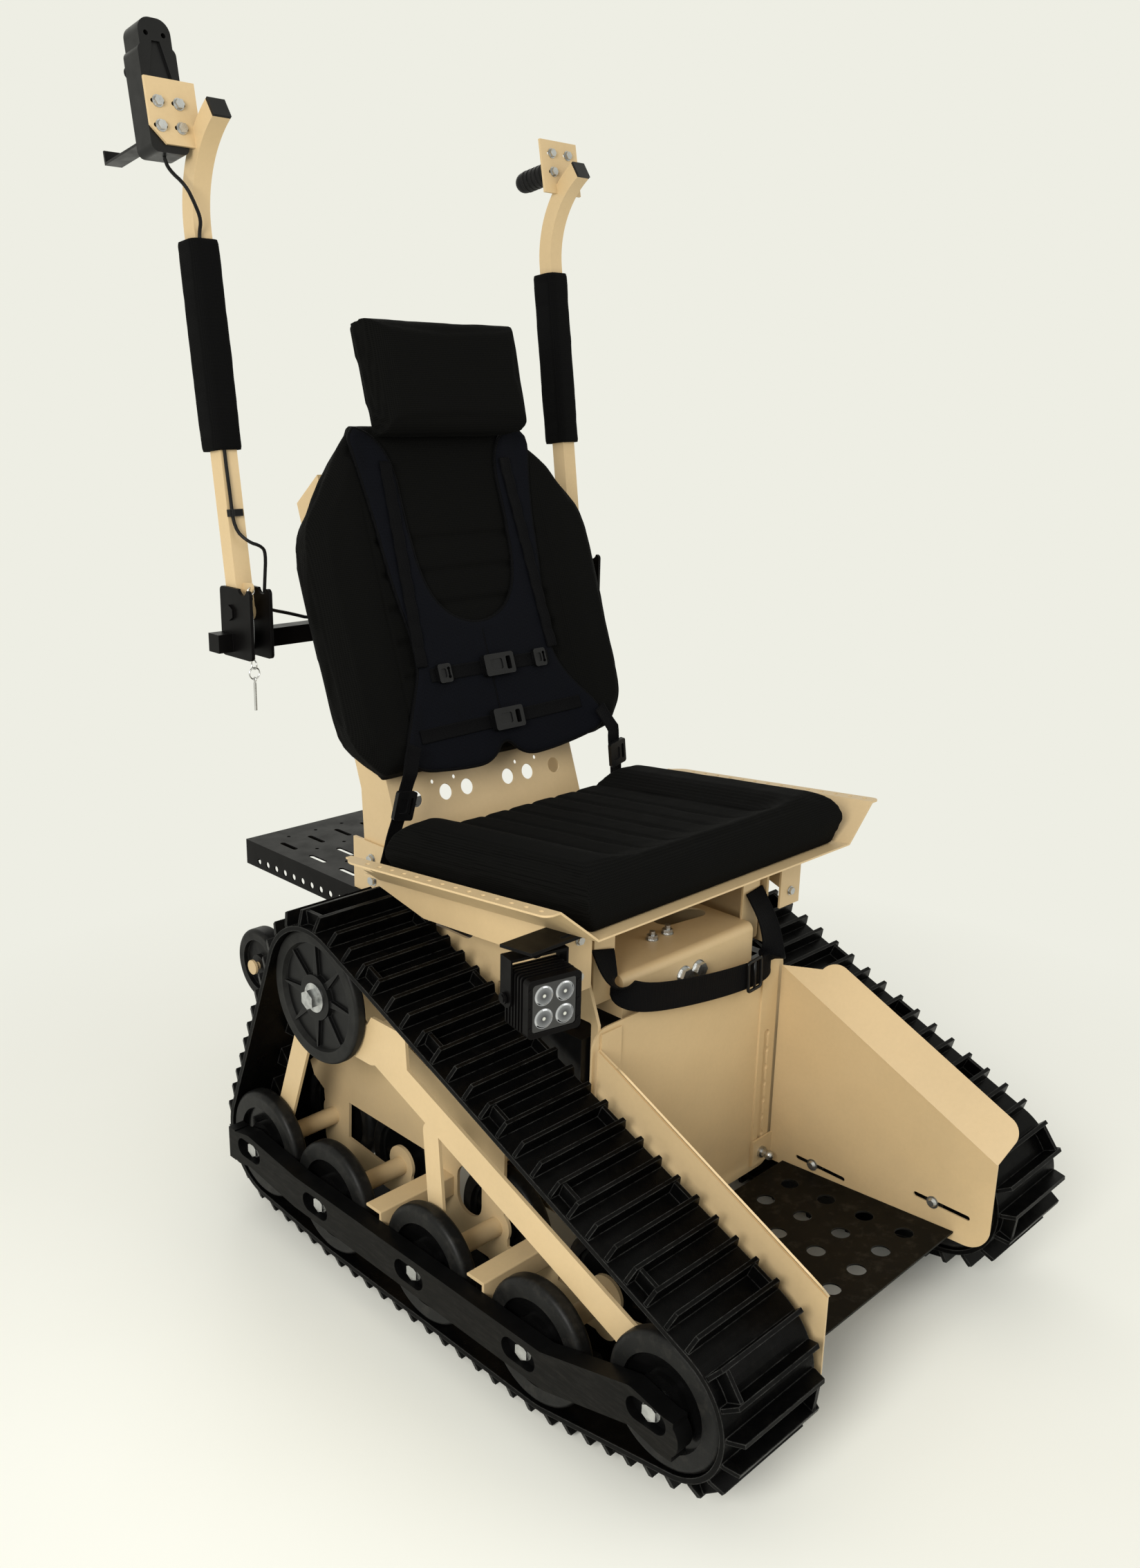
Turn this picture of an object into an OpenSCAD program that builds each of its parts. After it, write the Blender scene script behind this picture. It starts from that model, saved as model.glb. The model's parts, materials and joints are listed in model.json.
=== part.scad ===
// Tracked all-terrain wheelchair with its armrests folded up.
// Millimetres. +Z up, +Y to the rear, the user's right hand is on the -X side, Z = 0 is the ground.
// Modules work from the front axle (y = 0); the last lines move the whole chair to its middle.

/* [Tracks] */
// radius of a road wheel (8 inch wheel)
road_wheel_r = 101.6; // [70:0.1:140]
// width of one road wheel
road_wheel_w = 30.8; // [28:0.1:32]
// radius of the drive wheels
drive_r = 118.9; // [90:0.1:150]
// width of one drive wheel
drive_w = 20.8; // [18:0.1:22]
// distance from the centre plane to the middle of a track
track_x = 366; // [330:1:420]
// width of the rubber belt
belt_w = 202; // [160:1:240]
// thickness of the belt without lugs
belt_t = 8.6; // [5:0.1:15]
// height of the outer ridges over the belt
lug_h = 26; // [10:0.5:40]
// thickness of a ridge
lug_t = 7; // [4:0.5:12]
// number of ridges round the belt, a multiple of four
lug_count = 72; // [48:4:96]
// height of the drive teeth inside the belt
tooth_h = 27; // [10:1:30]
// width of a drive tooth
tooth_w = 46; // [30:1:60]
// clear space between the two wheels on one axle
wheel_space = 137; // [136:0.1:142]
// running space between wheels and belt
belt_gap = 0.4; // [0.3:0.1:1]

/* [Axles] */
// front axle to the second axle
axle_gap_front = 250.7; // [215:0.1:300]
// second to third and third to fourth axle
axle_gap_mid = 257; // [215:0.1:300]
// fourth axle to the rear axle
axle_gap_rear = 206; // [205:0.1:260]
// how far the front axle stands over the middle axles
front_lift = 50.3; // [20:0.1:80]
// how far the rear axle stands over the middle axles
rear_lift = 15.4; // [5:0.1:40]
// drive axle behind the front axle
drive_y = 807.5; // [760:0.5:840]
// drive axle over the middle axles
drive_lift = 367.7; // [330:0.1:400]
// radius of the wheel axles
axle_r = 10; // [6:0.5:14]
// radius of the drive shaft
shaft_r = 16; // [10:0.5:20]
// radial clearance of everything that turns on a shaft
run_gap = 0.08; // [0.02:0.01:0.1]

/* [Track frame] */
// thickness of the frame plates
plate_t = 6; // [4:0.5:10]
// width of the flat bars of the outer frame
bar_w = 54; // [40:1:64]
// thickness of the slide rail outside the wheels
rail_t = 30; // [24:0.5:36]
// height of the slide rail
rail_h = 62; // [45:1:80]
// space between the slide rail and the wheels
rail_gap = 2.2; // [1:0.1:6]
// length of the rail before the front axle and behind the rear axle
rail_reach = 58; // [45:1:80]
// how far the axle bolt heads stand out
bolt_head = 6; // [4:0.5:10]

/* [Chassis] */
// outer face of the chassis side plates from the centre plane
chassis_x = 237; // [215:1:245]
// front of the chassis side plates behind the front axle
chassis_y0 = 351; // [330:1:380]
// underside of the chassis over the ground
chassis_z0 = 165; // [140:1:200]
// rear end of the chassis side plates
chassis_y1 = 985; // [960:1:1010]
// thickness of the bent sheet parts
sheet_t = 3; // [2:0.5:5]
// height of the front box over the ground
box_top_z = 605; // [580:1:630]
// half width of the front box
box_x = 170; // [140:1:190]
// rear edge of the rack behind the front axle
rack_y1 = 1350; // [1300:1:1400]
// front edge of the rack
rack_y0 = 948; // [930:1:970]
// top of the rack over the ground
rack_z = 600; // [560:1:640]
// height of the rack's side flanges
rack_flange = 52; // [30:1:70]
// radius of the rear anti-tip wheels
tip_r = 75; // [50:1:90]
// anti-tip axle behind the front axle
tip_y = 1256; // [1200:1:1270]
// anti-tip axle over the ground
tip_z = 362; // [300:1:400]

/* [Seat] */
// half width of the seat pan between its wings
pan_x = 324; // [290:1:340]
// length of the seat pan
pan_l = 565; // [520:1:580]
// front edge of the seat pan behind the front axle
pan_y = 275; // [250:1:300]
// height of the front edge over the ground
pan_z = 741; // [700:1:780]
// backward tilt of the seat
pan_tilt = 5.5; // [0:0.5:10]
// how far the wings flare out
wing_out = 74; // [40:1:90]
// how far the wings rise
wing_up = 62; // [40:1:80]
// width of the flat lip on a wing
lip_w = 26; // [15:1:40]
// number of holes in a lip
lip_holes = 14; // [8:1:18]
// radius of the lip holes
lip_hole_r = 4; // [2:0.5:6]
// thickness of the seat cushion at its bolsters
seat_h = 96; // [70:1:120]
// length of the seat cushion
seat_l = 500; // [450:5:520]
// half width of the seat cushion
seat_x = 330; // [290:1:340]
// number of sewn channels in the seat
seat_channels = 7; // [3:1:7]

/* [Back] */
// backward lean of the back
back_lean = 19.5; // [10:0.5:25]
// front of the back sheet behind the front axle, at the hole row
back_y = 877; // [860:1:900]
// height of the hole row over the ground
back_z = 784; // [760:1:810]
// half width of the back frame
back_x = 228; // [200:1:231]
// height of the back sheet over the hole row
back_h = 600; // [500:1:640]
// depth of the back frame's side flanges
back_d = 80; // [60:1:100]
// radius of the big holes in the back sheet
back_hole_r = 15; // [8:0.5:20]
// greatest half width of the back cushion
cushion_x = 348; // [300:1:360]
// length of the back cushion
cushion_h = 640; // [560:5:680]
// thickness of the back cushion at its middle
cushion_d = 72; // [50:1:90]
// how much its side bolsters stand out
bolster_d = 24; // [10:1:35]
// half width of the headrest
head_x = 178; // [130:1:190]
// height of the headrest
head_h = 205; // [150:1:240]
// thickness of the headrest
head_d = 78; // [50:1:100]
// lean of the headrest
head_lean = 15; // [5:0.5:25]

/* [Arms] */
// distance from the centre plane to an arm tube
arm_x = 404.5; // [400:0.5:410]
// side of the square arm tube
arm_w = 32; // [28:1:40]
// arm hinge behind the front axle
hinge_y = 1062; // [1050:1:1080]
// arm hinge over the ground
hinge_z = 1126; // [1100:1:1150]
// backward lean of the folded arms
arm_lean = 7.7; // [0:0.1:15]
// straight length of an arm tube over its hinge
arm_straight = 620; // [540:5:660]
// bend radius of the arm tube
arm_bend_r = 183; // [120:1:220]
// angle of the bend
arm_bend = 63; // [40:1:75]
// start of the arm pad over the hinge
pad_start = 270; // [200:5:300]
// length of the arm pad
pad_l = 335; // [250:5:345]
// width of the arm pad
pad_w = 54; // [50:1:64]
// thickness of the hinge plates
hinge_t = 6; // [4:0.5:8]
// side space between arm tube and hinge plates
hinge_gap = 0.5; // [0.3:0.1:1]
// radius of the hinge bolts
hinge_r = 8; // [5:0.5:10]
// side of the square cross bar
cross_w = 32; // [24:1:38]

/* [Footrest] */
// distance from the centre plane to a foot guard
guard_x = 243.2; // [225:0.1:255]
// front edge of the guards, before the front axle
guard_front = 109; // [80:1:120]
// bottom of the guards over the ground
guard_z0 = 128; // [110:1:140]
// bend line height at the front
guard_front_z = 300; // [280:1:320]
// bend line height at the rear
guard_rear_z = 508; // [480:1:520]
// length of the bent-out flange
guard_flange = 74; // [40:1:80]
// front edge of the footplate, before the front axle
foot_front = 47; // [30:1:60]
// length of the footplate
foot_l = 356; // [300:1:366]
// height of the footplate's rear edge
foot_z = 121; // [115:1:135]
// upward slope of the footplate
foot_slope = 4; // [0:0.5:6]
// radius of the holes in the footplate
foot_hole_r = 16; // [8:0.5:20]
// pitch of the height adjusting holes
post_pitch = 34.5; // [25:0.5:40]
// number of height adjusting holes
post_holes = 8; // [5:1:10]

/* [Light] */
// side of the square lamp
lamp_w = 92; // [70:1:100]
// depth of the lamp body
lamp_d = 72; // [50:1:90]
// distance from the centre plane to the lamp
lamp_x = 378; // [365:1:384]
// height of the lamp's tilt axis
lamp_z = 652; // [640:1:660]
// lamp stud behind the front axle
lamp_y = 352; // [340:1:360]
// outward turn of the lamp as photographed
lamp_yaw = 12; // [0:1:25]

/* [Hidden] */
$fn = 48;
eps = 0.01;

tan_paint = [0.76, 0.64, 0.45];
black_paint = [0.05, 0.05, 0.055];
rubber = [0.07, 0.07, 0.075];
cloth = [0.045, 0.045, 0.05];
navy = [0.05, 0.055, 0.085];
zinc = [0.72, 0.73, 0.75];
plastic = [0.09, 0.09, 0.095];

axle_z = road_wheel_r + belt_gap + belt_t + lug_h;
axle_pos = [[0, axle_z + front_lift],
            [axle_gap_front, axle_z],
            [axle_gap_front + axle_gap_mid, axle_z],
            [axle_gap_front + 2 * axle_gap_mid, axle_z],
            [axle_gap_front + 2 * axle_gap_mid + axle_gap_rear, axle_z + rear_lift]];
drive_z = axle_z + drive_lift;
// wheels that the belt runs round, clockwise seen from the user's right
loop = [[drive_y, drive_z, drive_r],
        [axle_pos[4].x, axle_pos[4].y, road_wheel_r],
        [axle_pos[3].x, axle_pos[3].y, road_wheel_r],
        [axle_pos[1].x, axle_pos[1].y, road_wheel_r],
        [axle_pos[0].x, axle_pos[0].y, road_wheel_r]];
belt_mid = belt_gap + belt_t / 2;
belt_out = belt_gap + belt_t;
y_front = -road_wheel_r - belt_out - lug_h;
y_mid = (y_front + rack_y1) / 2;
wheel_out = wheel_space / 2 + road_wheel_w;
rail_in = wheel_out + rail_gap;
back_s0 = 42;
hinge_in = arm_w / 2 + hinge_gap;
post_z0 = 139.5;
plate_in = chassis_x - plate_t;

// shared shapes

module both() { children(); mirror([1, 0, 0]) children(); }

// profile drawn as (y, z), thickness w along X about x = c
module yz(w, c = 0) translate([c, 0, 0]) rotate([90, 0, 90]) linear_extrude(w, center = true) children();

// profile drawn as (x, z), thickness t along Y about y = c
module xz(t, c = 0) translate([0, c, 0]) rotate([90, 0, 0]) linear_extrude(t, center = true) children();

module rod_x(r, l, p) translate(p) rotate([0, 90, 0]) cylinder(r = r, h = l, center = true);

module hex_x(af, l, p) translate(p) rotate([0, 90, 0]) cylinder(r = af / sqrt(3), h = l, center = true,
    $fn = 6);

module rrect(w, h, r) {
  square([w - 2 * r, h], center = true);
  square([w, h - 2 * r], center = true);
  for (i = [-1, 1], j = [-1, 1]) translate([i * (w / 2 - r), j * (h / 2 - r)]) circle(r);
}

module slot2(l, d) {
  square([l - d, d], center = true);
  for (i = [-1, 1]) translate([i * (l - d) / 2, 0]) circle(d / 2);
}

// straight bar of width w between two points, with round ends
module bar2(p, q, w) {
  d = q - p;
  translate(p) rotate(atan2(d.y, d.x)) translate([0, -w / 2]) square([norm(d), w]);
  // the round ends are a hair fuller, so they cross the sides instead of touching them
  for (c = [p, q]) translate(c) circle(w / 2 + 0.04);
}

// hexagon screw head with washer, pointing along -Y
module screw_y(r, p) translate(p) rotate([90, 0, 0]) {
  cylinder(r = r * 2.1, h = 1.6);
  cylinder(r = r * 1.75, h = 1.6 + r * 1.2, $fn = 6);
}

// hexagon screw head with washer, pointing away from the centre plane along side * X
module screw_x(r, p, side) translate(p) rotate([0, 90 * side, 0]) {
  cylinder(r = r * 2.1, h = 1.6);
  cylinder(r = r * 1.75, h = 1.6 + r * 1.2, $fn = 6);
}

// smooth step and linear lookup
function clamp01(t) = max(0, min(1, t));
function smooth(a, b, t) = let (k = clamp01((t - a) / (b - a))) k * k * (3 - 2 * k);
function pick(v, list, i = 0) = i >= len(list) - 2 || v <= list[i + 1][0]
  ? list[i][1] + (list[i + 1][1] - list[i][1]) * clamp01((v - list[i][0]) / (list[i + 1][0] - list[i][0]))
  : pick(v, list, i + 1);

// belt path

// outward angle of the straight run from wheel i to the next
function run_normal(i) = let (a = loop[i], b = loop[(i + 1) % len(loop)], d = [b.x - a.x, b.y - a.y])
  atan2(d.y, d.x) + acos((a.z - b.z) / norm(d));
function run_length(i) = let (a = loop[i], b = loop[(i + 1) % len(loop)])
  sqrt(pow(b.x - a.x, 2) + pow(b.y - a.y, 2) - pow(a.z - b.z, 2));
// angle that the belt turns round wheel i
function turn(i) = let (t = run_normal((i + len(loop) - 1) % len(loop)) - run_normal(i))
    t - 360 * floor(t / 360);
function arc_length(i) = (loop[i].z + belt_mid) * turn(i) * PI / 180;
function path_length(i = 0) = i == len(loop) ? 0 : run_length(i) + arc_length(i) + path_length(i + 1);
// place on the belt's middle surface, as [y, z, outward angle]
function walk(s, i = 0) = let (
    k = i % len(loop), m = (i + 1) % len(loop), n = run_normal(k), c = loop[k], e = loop[m],
    run = run_length(k), arc = arc_length(m), a = n - (s - run) / (e.z + belt_mid) * 180 / PI)
  s < run ? [c.x + (c.z + belt_mid) * cos(n) + s * sin(n), c.y + (c.z + belt_mid) * sin(n) - s * cos(n), n]
  : s < run + arc ? [e.x + (e.z + belt_mid) * cos(a), e.y + (e.z + belt_mid) * sin(a), a]
  : walk(s - run - arc, i + 1);
// outline round the wheels, k outside their treads
function wrap(k) = [for (i = [0 : len(loop) - 1]) let (n1 = run_normal(i), t = turn(i), c = ceil(t / 5))
  for (j = [0 : c]) let (a = n1 + t * (1 - j / c)) [loop[i].x + (loop[i].z + k) * cos(a),
                                                    loop[i].y + (loop[i].z + k) * sin(a)]];
lug_pitch = path_length() / lug_count;

module on_belt(s) {
  w = walk(s);
  translate([0, w.x, w.y]) rotate([w.z - 90, 0, 0]) children();
}

// ridge over the whole belt width with sloping ends
module lug() rotate([90, 0, 0]) linear_extrude(lug_t, center = true)
  polygon([[-belt_w / 2 + 3, 0], [belt_w / 2 - 3, 0], [belt_w / 2 - 3, belt_t / 2 + 4],
           [belt_w / 2 - 12, belt_t / 2 + lug_h], [-belt_w / 2 + 12, belt_t / 2 + lug_h],
           [-belt_w / 2 + 3, belt_t / 2 + 4]]);

// rib that joins two neighbouring ridges near one end
module lug_rib(side) translate([side * (belt_w / 2 - 22), 0, (belt_t / 2 + lug_h - 4) / 2])
  cube([lug_t, lug_pitch + 5.5, belt_t / 2 + lug_h - 4], center = true);

module drive_tooth() yz(tooth_w) polygon([[-22, 0], [22, 0], [7, -tooth_h - belt_t / 2], [-7,
    -tooth_h - belt_t / 2]]);

module belt() {
  yz(belt_w) difference() { polygon(wrap(belt_out)); polygon(wrap(belt_gap)); }
  for (i = [0 : lug_count - 1]) {
    on_belt(i * lug_pitch) lug();
    if (i % 4 == 0) on_belt((i + 0.5) * lug_pitch) lug_rib(-1);
    if (i % 4 == 2) on_belt((i + 0.5) * lug_pitch) lug_rib(1);
    if (i % 2 == 0) on_belt((i + 1) * lug_pitch) drive_tooth();
  }
}

module right_belt() color(rubber) translate([-track_x, 0, 0]) belt();
module left_belt() color(rubber) mirror([1, 0, 0]) translate([-track_x, 0, 0]) belt();

// wheels

// one road wheel, outer face towards -X at x = 0
module road_disc() rotate([0, 90, 0]) rotate_extrude($fn = 72) {
  hub = axle_r + run_gap;
  difference() {
    translate([hub, 0]) square([road_wheel_r - 10 - hub, road_wheel_w]);
    translate([42, -eps]) square([road_wheel_r - 30 - 42, 9]);
    translate([34, road_wheel_w - 9]) square([road_wheel_r - 24 - 34, 9 + eps]);
    translate([hub - eps, -eps]) square([24 - hub, 8]);
  }
  translate([road_wheel_r - 10 - eps, 10]) square([10 + eps, road_wheel_w - 20]);
  for (v = [10, road_wheel_w - 10]) translate([road_wheel_r - 10, v]) circle(10, $fn = 28);
}

// wheel pair on one axle of a track
module road_pair(k) translate([0, axle_pos[k].x, axle_pos[k].y]) {
  translate([-wheel_out, 0, 0]) road_disc();
  mirror([1, 0, 0]) translate([-wheel_out, 0, 0]) road_disc();
}

module road_wheel(k, side) color(rubber)
  mirror([side > 0 ? 1 : 0, 0, 0]) translate([-track_x, 0, 0]) road_pair(k);

module right_road_wheel_1() road_wheel(0, -1);
module right_road_wheel_2() road_wheel(1, -1);
module right_road_wheel_3() road_wheel(2, -1);
module right_road_wheel_4() road_wheel(3, -1);
module right_road_wheel_5() road_wheel(4, -1);
module left_road_wheel_1() road_wheel(0, 1);
module left_road_wheel_2() road_wheel(1, 1);
module left_road_wheel_3() road_wheel(2, 1);
module left_road_wheel_4() road_wheel(3, 1);
module left_road_wheel_5() road_wheel(4, 1);

// moulded drive wheel with a dished face and tapering ribs, outer face towards -X at x = 0
module drive_disc() rotate([0, 90, 0]) {
  rotate_extrude($fn = 72) {
    difference() {
      translate([0, 0]) square([drive_r - 6, drive_w]);
      translate([40, -eps]) polygon([[0, 0], [drive_r - 62, 0], [drive_r - 66, 9], [2, 9]]);
      translate([40, drive_w - 5]) square([drive_r - 66, 5 + eps]);
    }
    translate([drive_r - 6 - eps, 6]) square([6 + eps, drive_w - 12]);
    for (v = [6, drive_w - 6]) translate([drive_r - 6, v]) circle(6, $fn = 24);
  }
  for (i = [0 : 7]) rotate(i * 45) translate([0, 0, 3]) linear_extrude(8)
    polygon([[38, -6], [drive_r - 26, -1], [drive_r - 26, 1], [38, 6]]);
}

drive_out = wheel_space / 2 + drive_w;

module drive_wheel() translate([0, drive_y, drive_z]) {
  translate([-drive_out, 0, 0]) drive_disc();
  mirror([1, 0, 0]) translate([-drive_out, 0, 0]) drive_disc();
  x1 = track_x - plate_in - 12;
  rod_x(shaft_r, drive_out + x1, [(x1 - drive_out) / 2, 0, 0]);
  rod_x(26, 2, [-drive_out - 1, 0, 0]);
  hex_x(30, 14, [-drive_out - 9 + eps, 0, 0]);
}

module right_drive_wheel() color(plastic) translate([-track_x, 0, 0]) drive_wheel();
module left_drive_wheel() color(plastic) mirror([1, 0, 0]) translate([-track_x, 0, 0]) drive_wheel();

// axles, track frames and slide rails

module axle_set() for (p = axle_pos) {
  x0 = -rail_in - rail_t + slot_deep - 0.02;
  rod_x(axle_r, wheel_out + 4 - x0, [(wheel_out + 4 + x0) / 2, p.x, p.y]);
  rod_x(axle_r + 6, 2, [x0 - 1, p.x, p.y]);
  hex_x(24, bolt_head, [x0 - bolt_head / 2 - 2 + eps, p.x, p.y]);
  for (s = [-1, 1]) rod_x(19, 4, [s * (wheel_out - 3), p.x, p.y]);
}

module axles() color(zinc) both() translate([-track_x, 0, 0]) axle_set();

// plates of a track frame, just inside the two rows of wheels
frame_out = wheel_space / 2 - plate_t / 2 - 1.3;
frame_in = wheel_space / 2 - plate_t / 2 - 4.5;
slot_deep = 14;

// low chord under the axles with a lobe up to every axle
module chord2() {
  for (i = [0 : 3]) bar2(axle_pos[i] + [0, -48], axle_pos[i + 1] + [0, -48], 44);
  for (p = axle_pos) {
    bar2(p, p + [0, -48], 58);
    translate(p + [0, 4]) circle(33);
  }
}

// long brace with a leg to the third axle and one to the last
module outer_frame2() difference() {
  hub = [drive_y, drive_z];
  union() {
    bar2(axle_pos[0], hub, bar_w);
    bar2(axle_pos[2] + [20, 220], axle_pos[2], bar_w * 0.7);
    bar2(hub + [44, -30], axle_pos[4], bar_w * 0.8);
    bar2(hub + [-120, -60], hub + [40, -60], bar_w);
    translate(hub) circle(62);
    for (i = [0, 2, 4]) translate(axle_pos[i]) circle(31);
    // lug for the upper cross tube
    polygon([hub + [-222, -70], hub + [-216, 2], hub + [-128, 2], hub + [-96, -50]]);
  }
  translate([drive_y, drive_z]) circle(shaft_r + run_gap);
}

// broad plate above the chord, with a window and a rib at each end
module inner_frame2() difference() {
  hub = [drive_y, drive_z];
  y2 = axle_pos[2].x;
  y4 = axle_pos[4].x;
  union() {
    chord2();
    bar2((axle_pos[1] + axle_pos[2]) / 2 + [0, 26], (axle_pos[1] + axle_pos[2]) / 2 + [0, -48], 46);
    polygon([[y2 - 20, axle_z - 40], [y2 - 20, axle_z + 164], [y2 + 4, axle_z + 184],
             [y2 + 88, axle_z + 196], hub + [-62, -116], hub + [-66, 0], hub + [66, 0],
             hub + [104, -140], [y4 + 74, axle_z + 104],
             [y4 + 62, axle_z + 78], [y4 + 30, axle_z + 60], [y4 + 24, axle_z - 30], [y4 - 46, axle_z - 30],
             [y4 - 50, axle_z + 63], [y2 + 182, axle_z + 63], [y2 + 178, axle_z - 40]]);
    translate(hub) circle(66);
  }
  translate([y2 + 68, axle_z + 36]) rrect(64, 92, 30);
  translate(hub) circle(shaft_r + run_gap);
}

tube_at = [[545, 262], [856, 300]];

module track_frame() difference() {
  tip = frame_out + plate_t / 2 + 0.3;
  x1 = track_x - chassis_x;
  union() {
    yz(plate_t, -frame_out) outer_frame2();
    yz(plate_t, frame_in) inner_frame2();
    // sleeves round the axles
    for (p = axle_pos) yz(frame_in + tip, (frame_in - tip) / 2) translate(p) circle(17);
    // channels that hold the slide rail
    for (i = [1, 2]) yz(rail_in + frame_in - eps, (frame_in - rail_in + eps) / 2)
      translate((axle_pos[i] + axle_pos[i + 1]) / 2 + [0, 28]) difference() {
        rrect(40, 40, 3);
        translate([3, -5]) square([36, 38], center = true);
      }
    // tubes that carry the frame from the chassis
    for (p = tube_at) yz(x1 - frame_in, (x1 + frame_in) / 2) translate(p) rrect(64, 34, 4);
    yz(x1 + frame_out, (x1 - frame_out) / 2) translate([drive_y - 176, drive_z - 16]) rrect(60, 32, 4);
  }
  for (p = axle_pos) rod_x(axle_r + eps, 4 * track_x, [0, p.x, p.y]);
}

module right_track_frame() color(tan_paint) translate([-track_x, 0, 0]) track_frame();
module left_track_frame() color(tan_paint) mirror([1, 0, 0]) translate([-track_x, 0, 0]) track_frame();

module guide_rail() {
  ends = [axle_pos[0] + [-rail_reach + rail_h / 2, -14], axle_pos[4] + [rail_reach + 8 - rail_h / 2, -8]];
  route = [ends[0], axle_pos[0] + [30, -2], axle_pos[1] + [-50, 0], axle_pos[1], axle_pos[2], axle_pos[3],
           axle_pos[3] + [60, 0], axle_pos[4], ends[1]];
  module side2() union() {
      for (i = [0 : len(route) - 2]) bar2(route[i], route[i + 1], rail_h);
      translate(axle_pos[0] + [-rail_reach + 10, -45]) square([20, rail_h]);
      translate(axle_pos[4] + [rail_reach - 12, -39]) square([20, rail_h]);
  }
  yz(rail_t - slot_deep + eps, -rail_in - (rail_t - slot_deep) / 2) difference() {
    side2();
    for (p = axle_pos) translate(p) circle(axle_r + eps);
  }
  yz(slot_deep, -rail_in - rail_t + slot_deep / 2) difference() {
    side2();
    for (p = axle_pos) translate(p) slot2(72, 35);
  }
}

module guide_rails() color(plastic) both() translate([-track_x, 0, 0]) guide_rail();

// chassis

module pan_space() translate([0, pan_y, pan_z]) rotate([-pan_tilt, 0, 0]) children();
// height of the pan's underside over y
function pan_under(y) = pan_z - (y - pan_y) * tan(pan_tilt) - sheet_t / cos(pan_tilt);

module side_plate2() difference() {
  polygon([[chassis_y0, chassis_z0], [chassis_y1 - 45, chassis_z0], [chassis_y1, 320], [chassis_y1, 700],
           [pan_y + pan_l + 6, 700], [pan_y + pan_l + 6, pan_under(pan_y + pan_l + 6) - 0.3],
           [box_y + 20, pan_under(box_y + 20) - 0.3], [box_y + 20, box_top_z + 20], [chassis_y0,
               box_top_z - 60]]);
  translate([(bay_y0 + bay_y1) / 2, (bay_z0 + bay_z1) / 2]) rrect(bay_y1 - bay_y0, bay_z1 - bay_z0, 4);
  translate([720, 620]) slot2(150, 50);
  translate([drive_y, drive_z]) circle(58);
}

box_y = 361;
box_low_z = 532;
bay_y0 = 366;
bay_y1 = 585;
bay_z0 = 286;
bay_z1 = 545;

module chassis_frame() color(tan_paint) difference() {
  union() {
    both() yz(plate_t, chassis_x - plate_t / 2) side_plate2();
    // floor, rear wall, battery tray and two seat cross members
    translate([-plate_in, chassis_y0, chassis_z0]) cube([2 * plate_in, chassis_y1 - 50 - chassis_y0, 4]);
    translate([-plate_in, chassis_y1 - 54, chassis_z0]) cube([2 * plate_in, 4, 390]);
    translate([-plate_in, bay_y0, bay_z0 - 4]) cube([2 * plate_in, bay_y1 - bay_y0, 4]);
    for (y = [620, 780]) translate([-plate_in, y, pan_under(y + 40) - 40]) cube([2 * plate_in, 40, 36]);
    // arms that carry the anti-tip wheels
    both() yz(plate_t, chassis_x + plate_t / 2)
      difference() {
        bar2([chassis_y1 - 40, 300], [tip_y, tip_z], 52);
        translate([tip_y, tip_z]) circle(8);
      }
    both() rod_x(8, 56, [chassis_x + plate_t + 28 - plate_t, tip_y, tip_z]);
    both() rod_x(15, 5, [chassis_x + plate_t + 52.5, tip_y, tip_z]);
  }
  // bolt holes for the rack
  both() for (y = [rack_y0 + 14, rack_y0 + 28]) rod_x(3, 20, [chassis_x, y, rack_z - 26]);
}

module front_box() color(tan_paint) difference() {
  union() {
    yz(2 * box_x) difference() {
      translate([box_y, box_low_z]) hood2(190, box_top_z - box_low_z);
      translate([box_y + sheet_t, box_low_z - eps]) hood2(190, box_top_z - box_low_z - sheet_t + eps);
    }
    both() yz(sheet_t, box_x - sheet_t / 2) translate([box_y, box_low_z]) hood2(190, box_top_z - box_low_z);
    // ears that hang the box from the seat and carry the strap
    both() difference() {
      translate([box_x - sheet_t, box_y + 24, 560]) cube([48, 4, pan_under(box_y + 28) - 560]);
      translate([box_x + 40, box_y, 556]) rotate([0, 30, 0]) cube([60, 80, 60]);
    }
  }
  translate([96, 470, box_top_z]) linear_extrude(20, center = true) rotate(-8) slot2(110, 44);
}

// plate profile with one round front top corner
module hood2(l, h) {
  r = 14;
  square([l, h - r]);
  translate([r, 0]) square([l - r, h]);
  translate([r, h - r]) circle(r);
}

// panel behind the footrest with its two adjusting posts
module leg_panel() color(tan_paint) {
  xz(sheet_t, chassis_y0 - sheet_t / 2) translate([0, 320]) rrect(504, 440, 34);
  both() difference() {
    translate([188, chassis_y0 - sheet_t - 4, 112]) cube([46, 4, 420]);
    // seats for the pin, joined by a slot that it slides along when it is slackened
    translate([210, chassis_y0 - sheet_t, post_z0]) rotate([90, 0, 0]) linear_extrude(12) {
      for (i = [0 : post_holes - 1]) translate([0, i * post_pitch]) circle(8.5);
      translate([-6.5, 0]) square([13, (post_holes - 1) * post_pitch]);
    }
  }
}

module pan_section2() {
  t = sheet_t;
  polygon([[-pan_x, -t], [pan_x, -t], [pan_x + wing_out, wing_up - t], [pan_x + wing_out + lip_w,
      wing_up - t],
           [pan_x + wing_out + lip_w, wing_up], [pan_x + wing_out - 1.5, wing_up], [pan_x - 1.5, 0],
           [1.5 - pan_x, 0], [1.5 - pan_x - wing_out, wing_up], [-pan_x - wing_out - lip_w, wing_up],
           [-pan_x - wing_out - lip_w, wing_up - t], [-pan_x - wing_out, wing_up - t]]);
}

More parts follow.
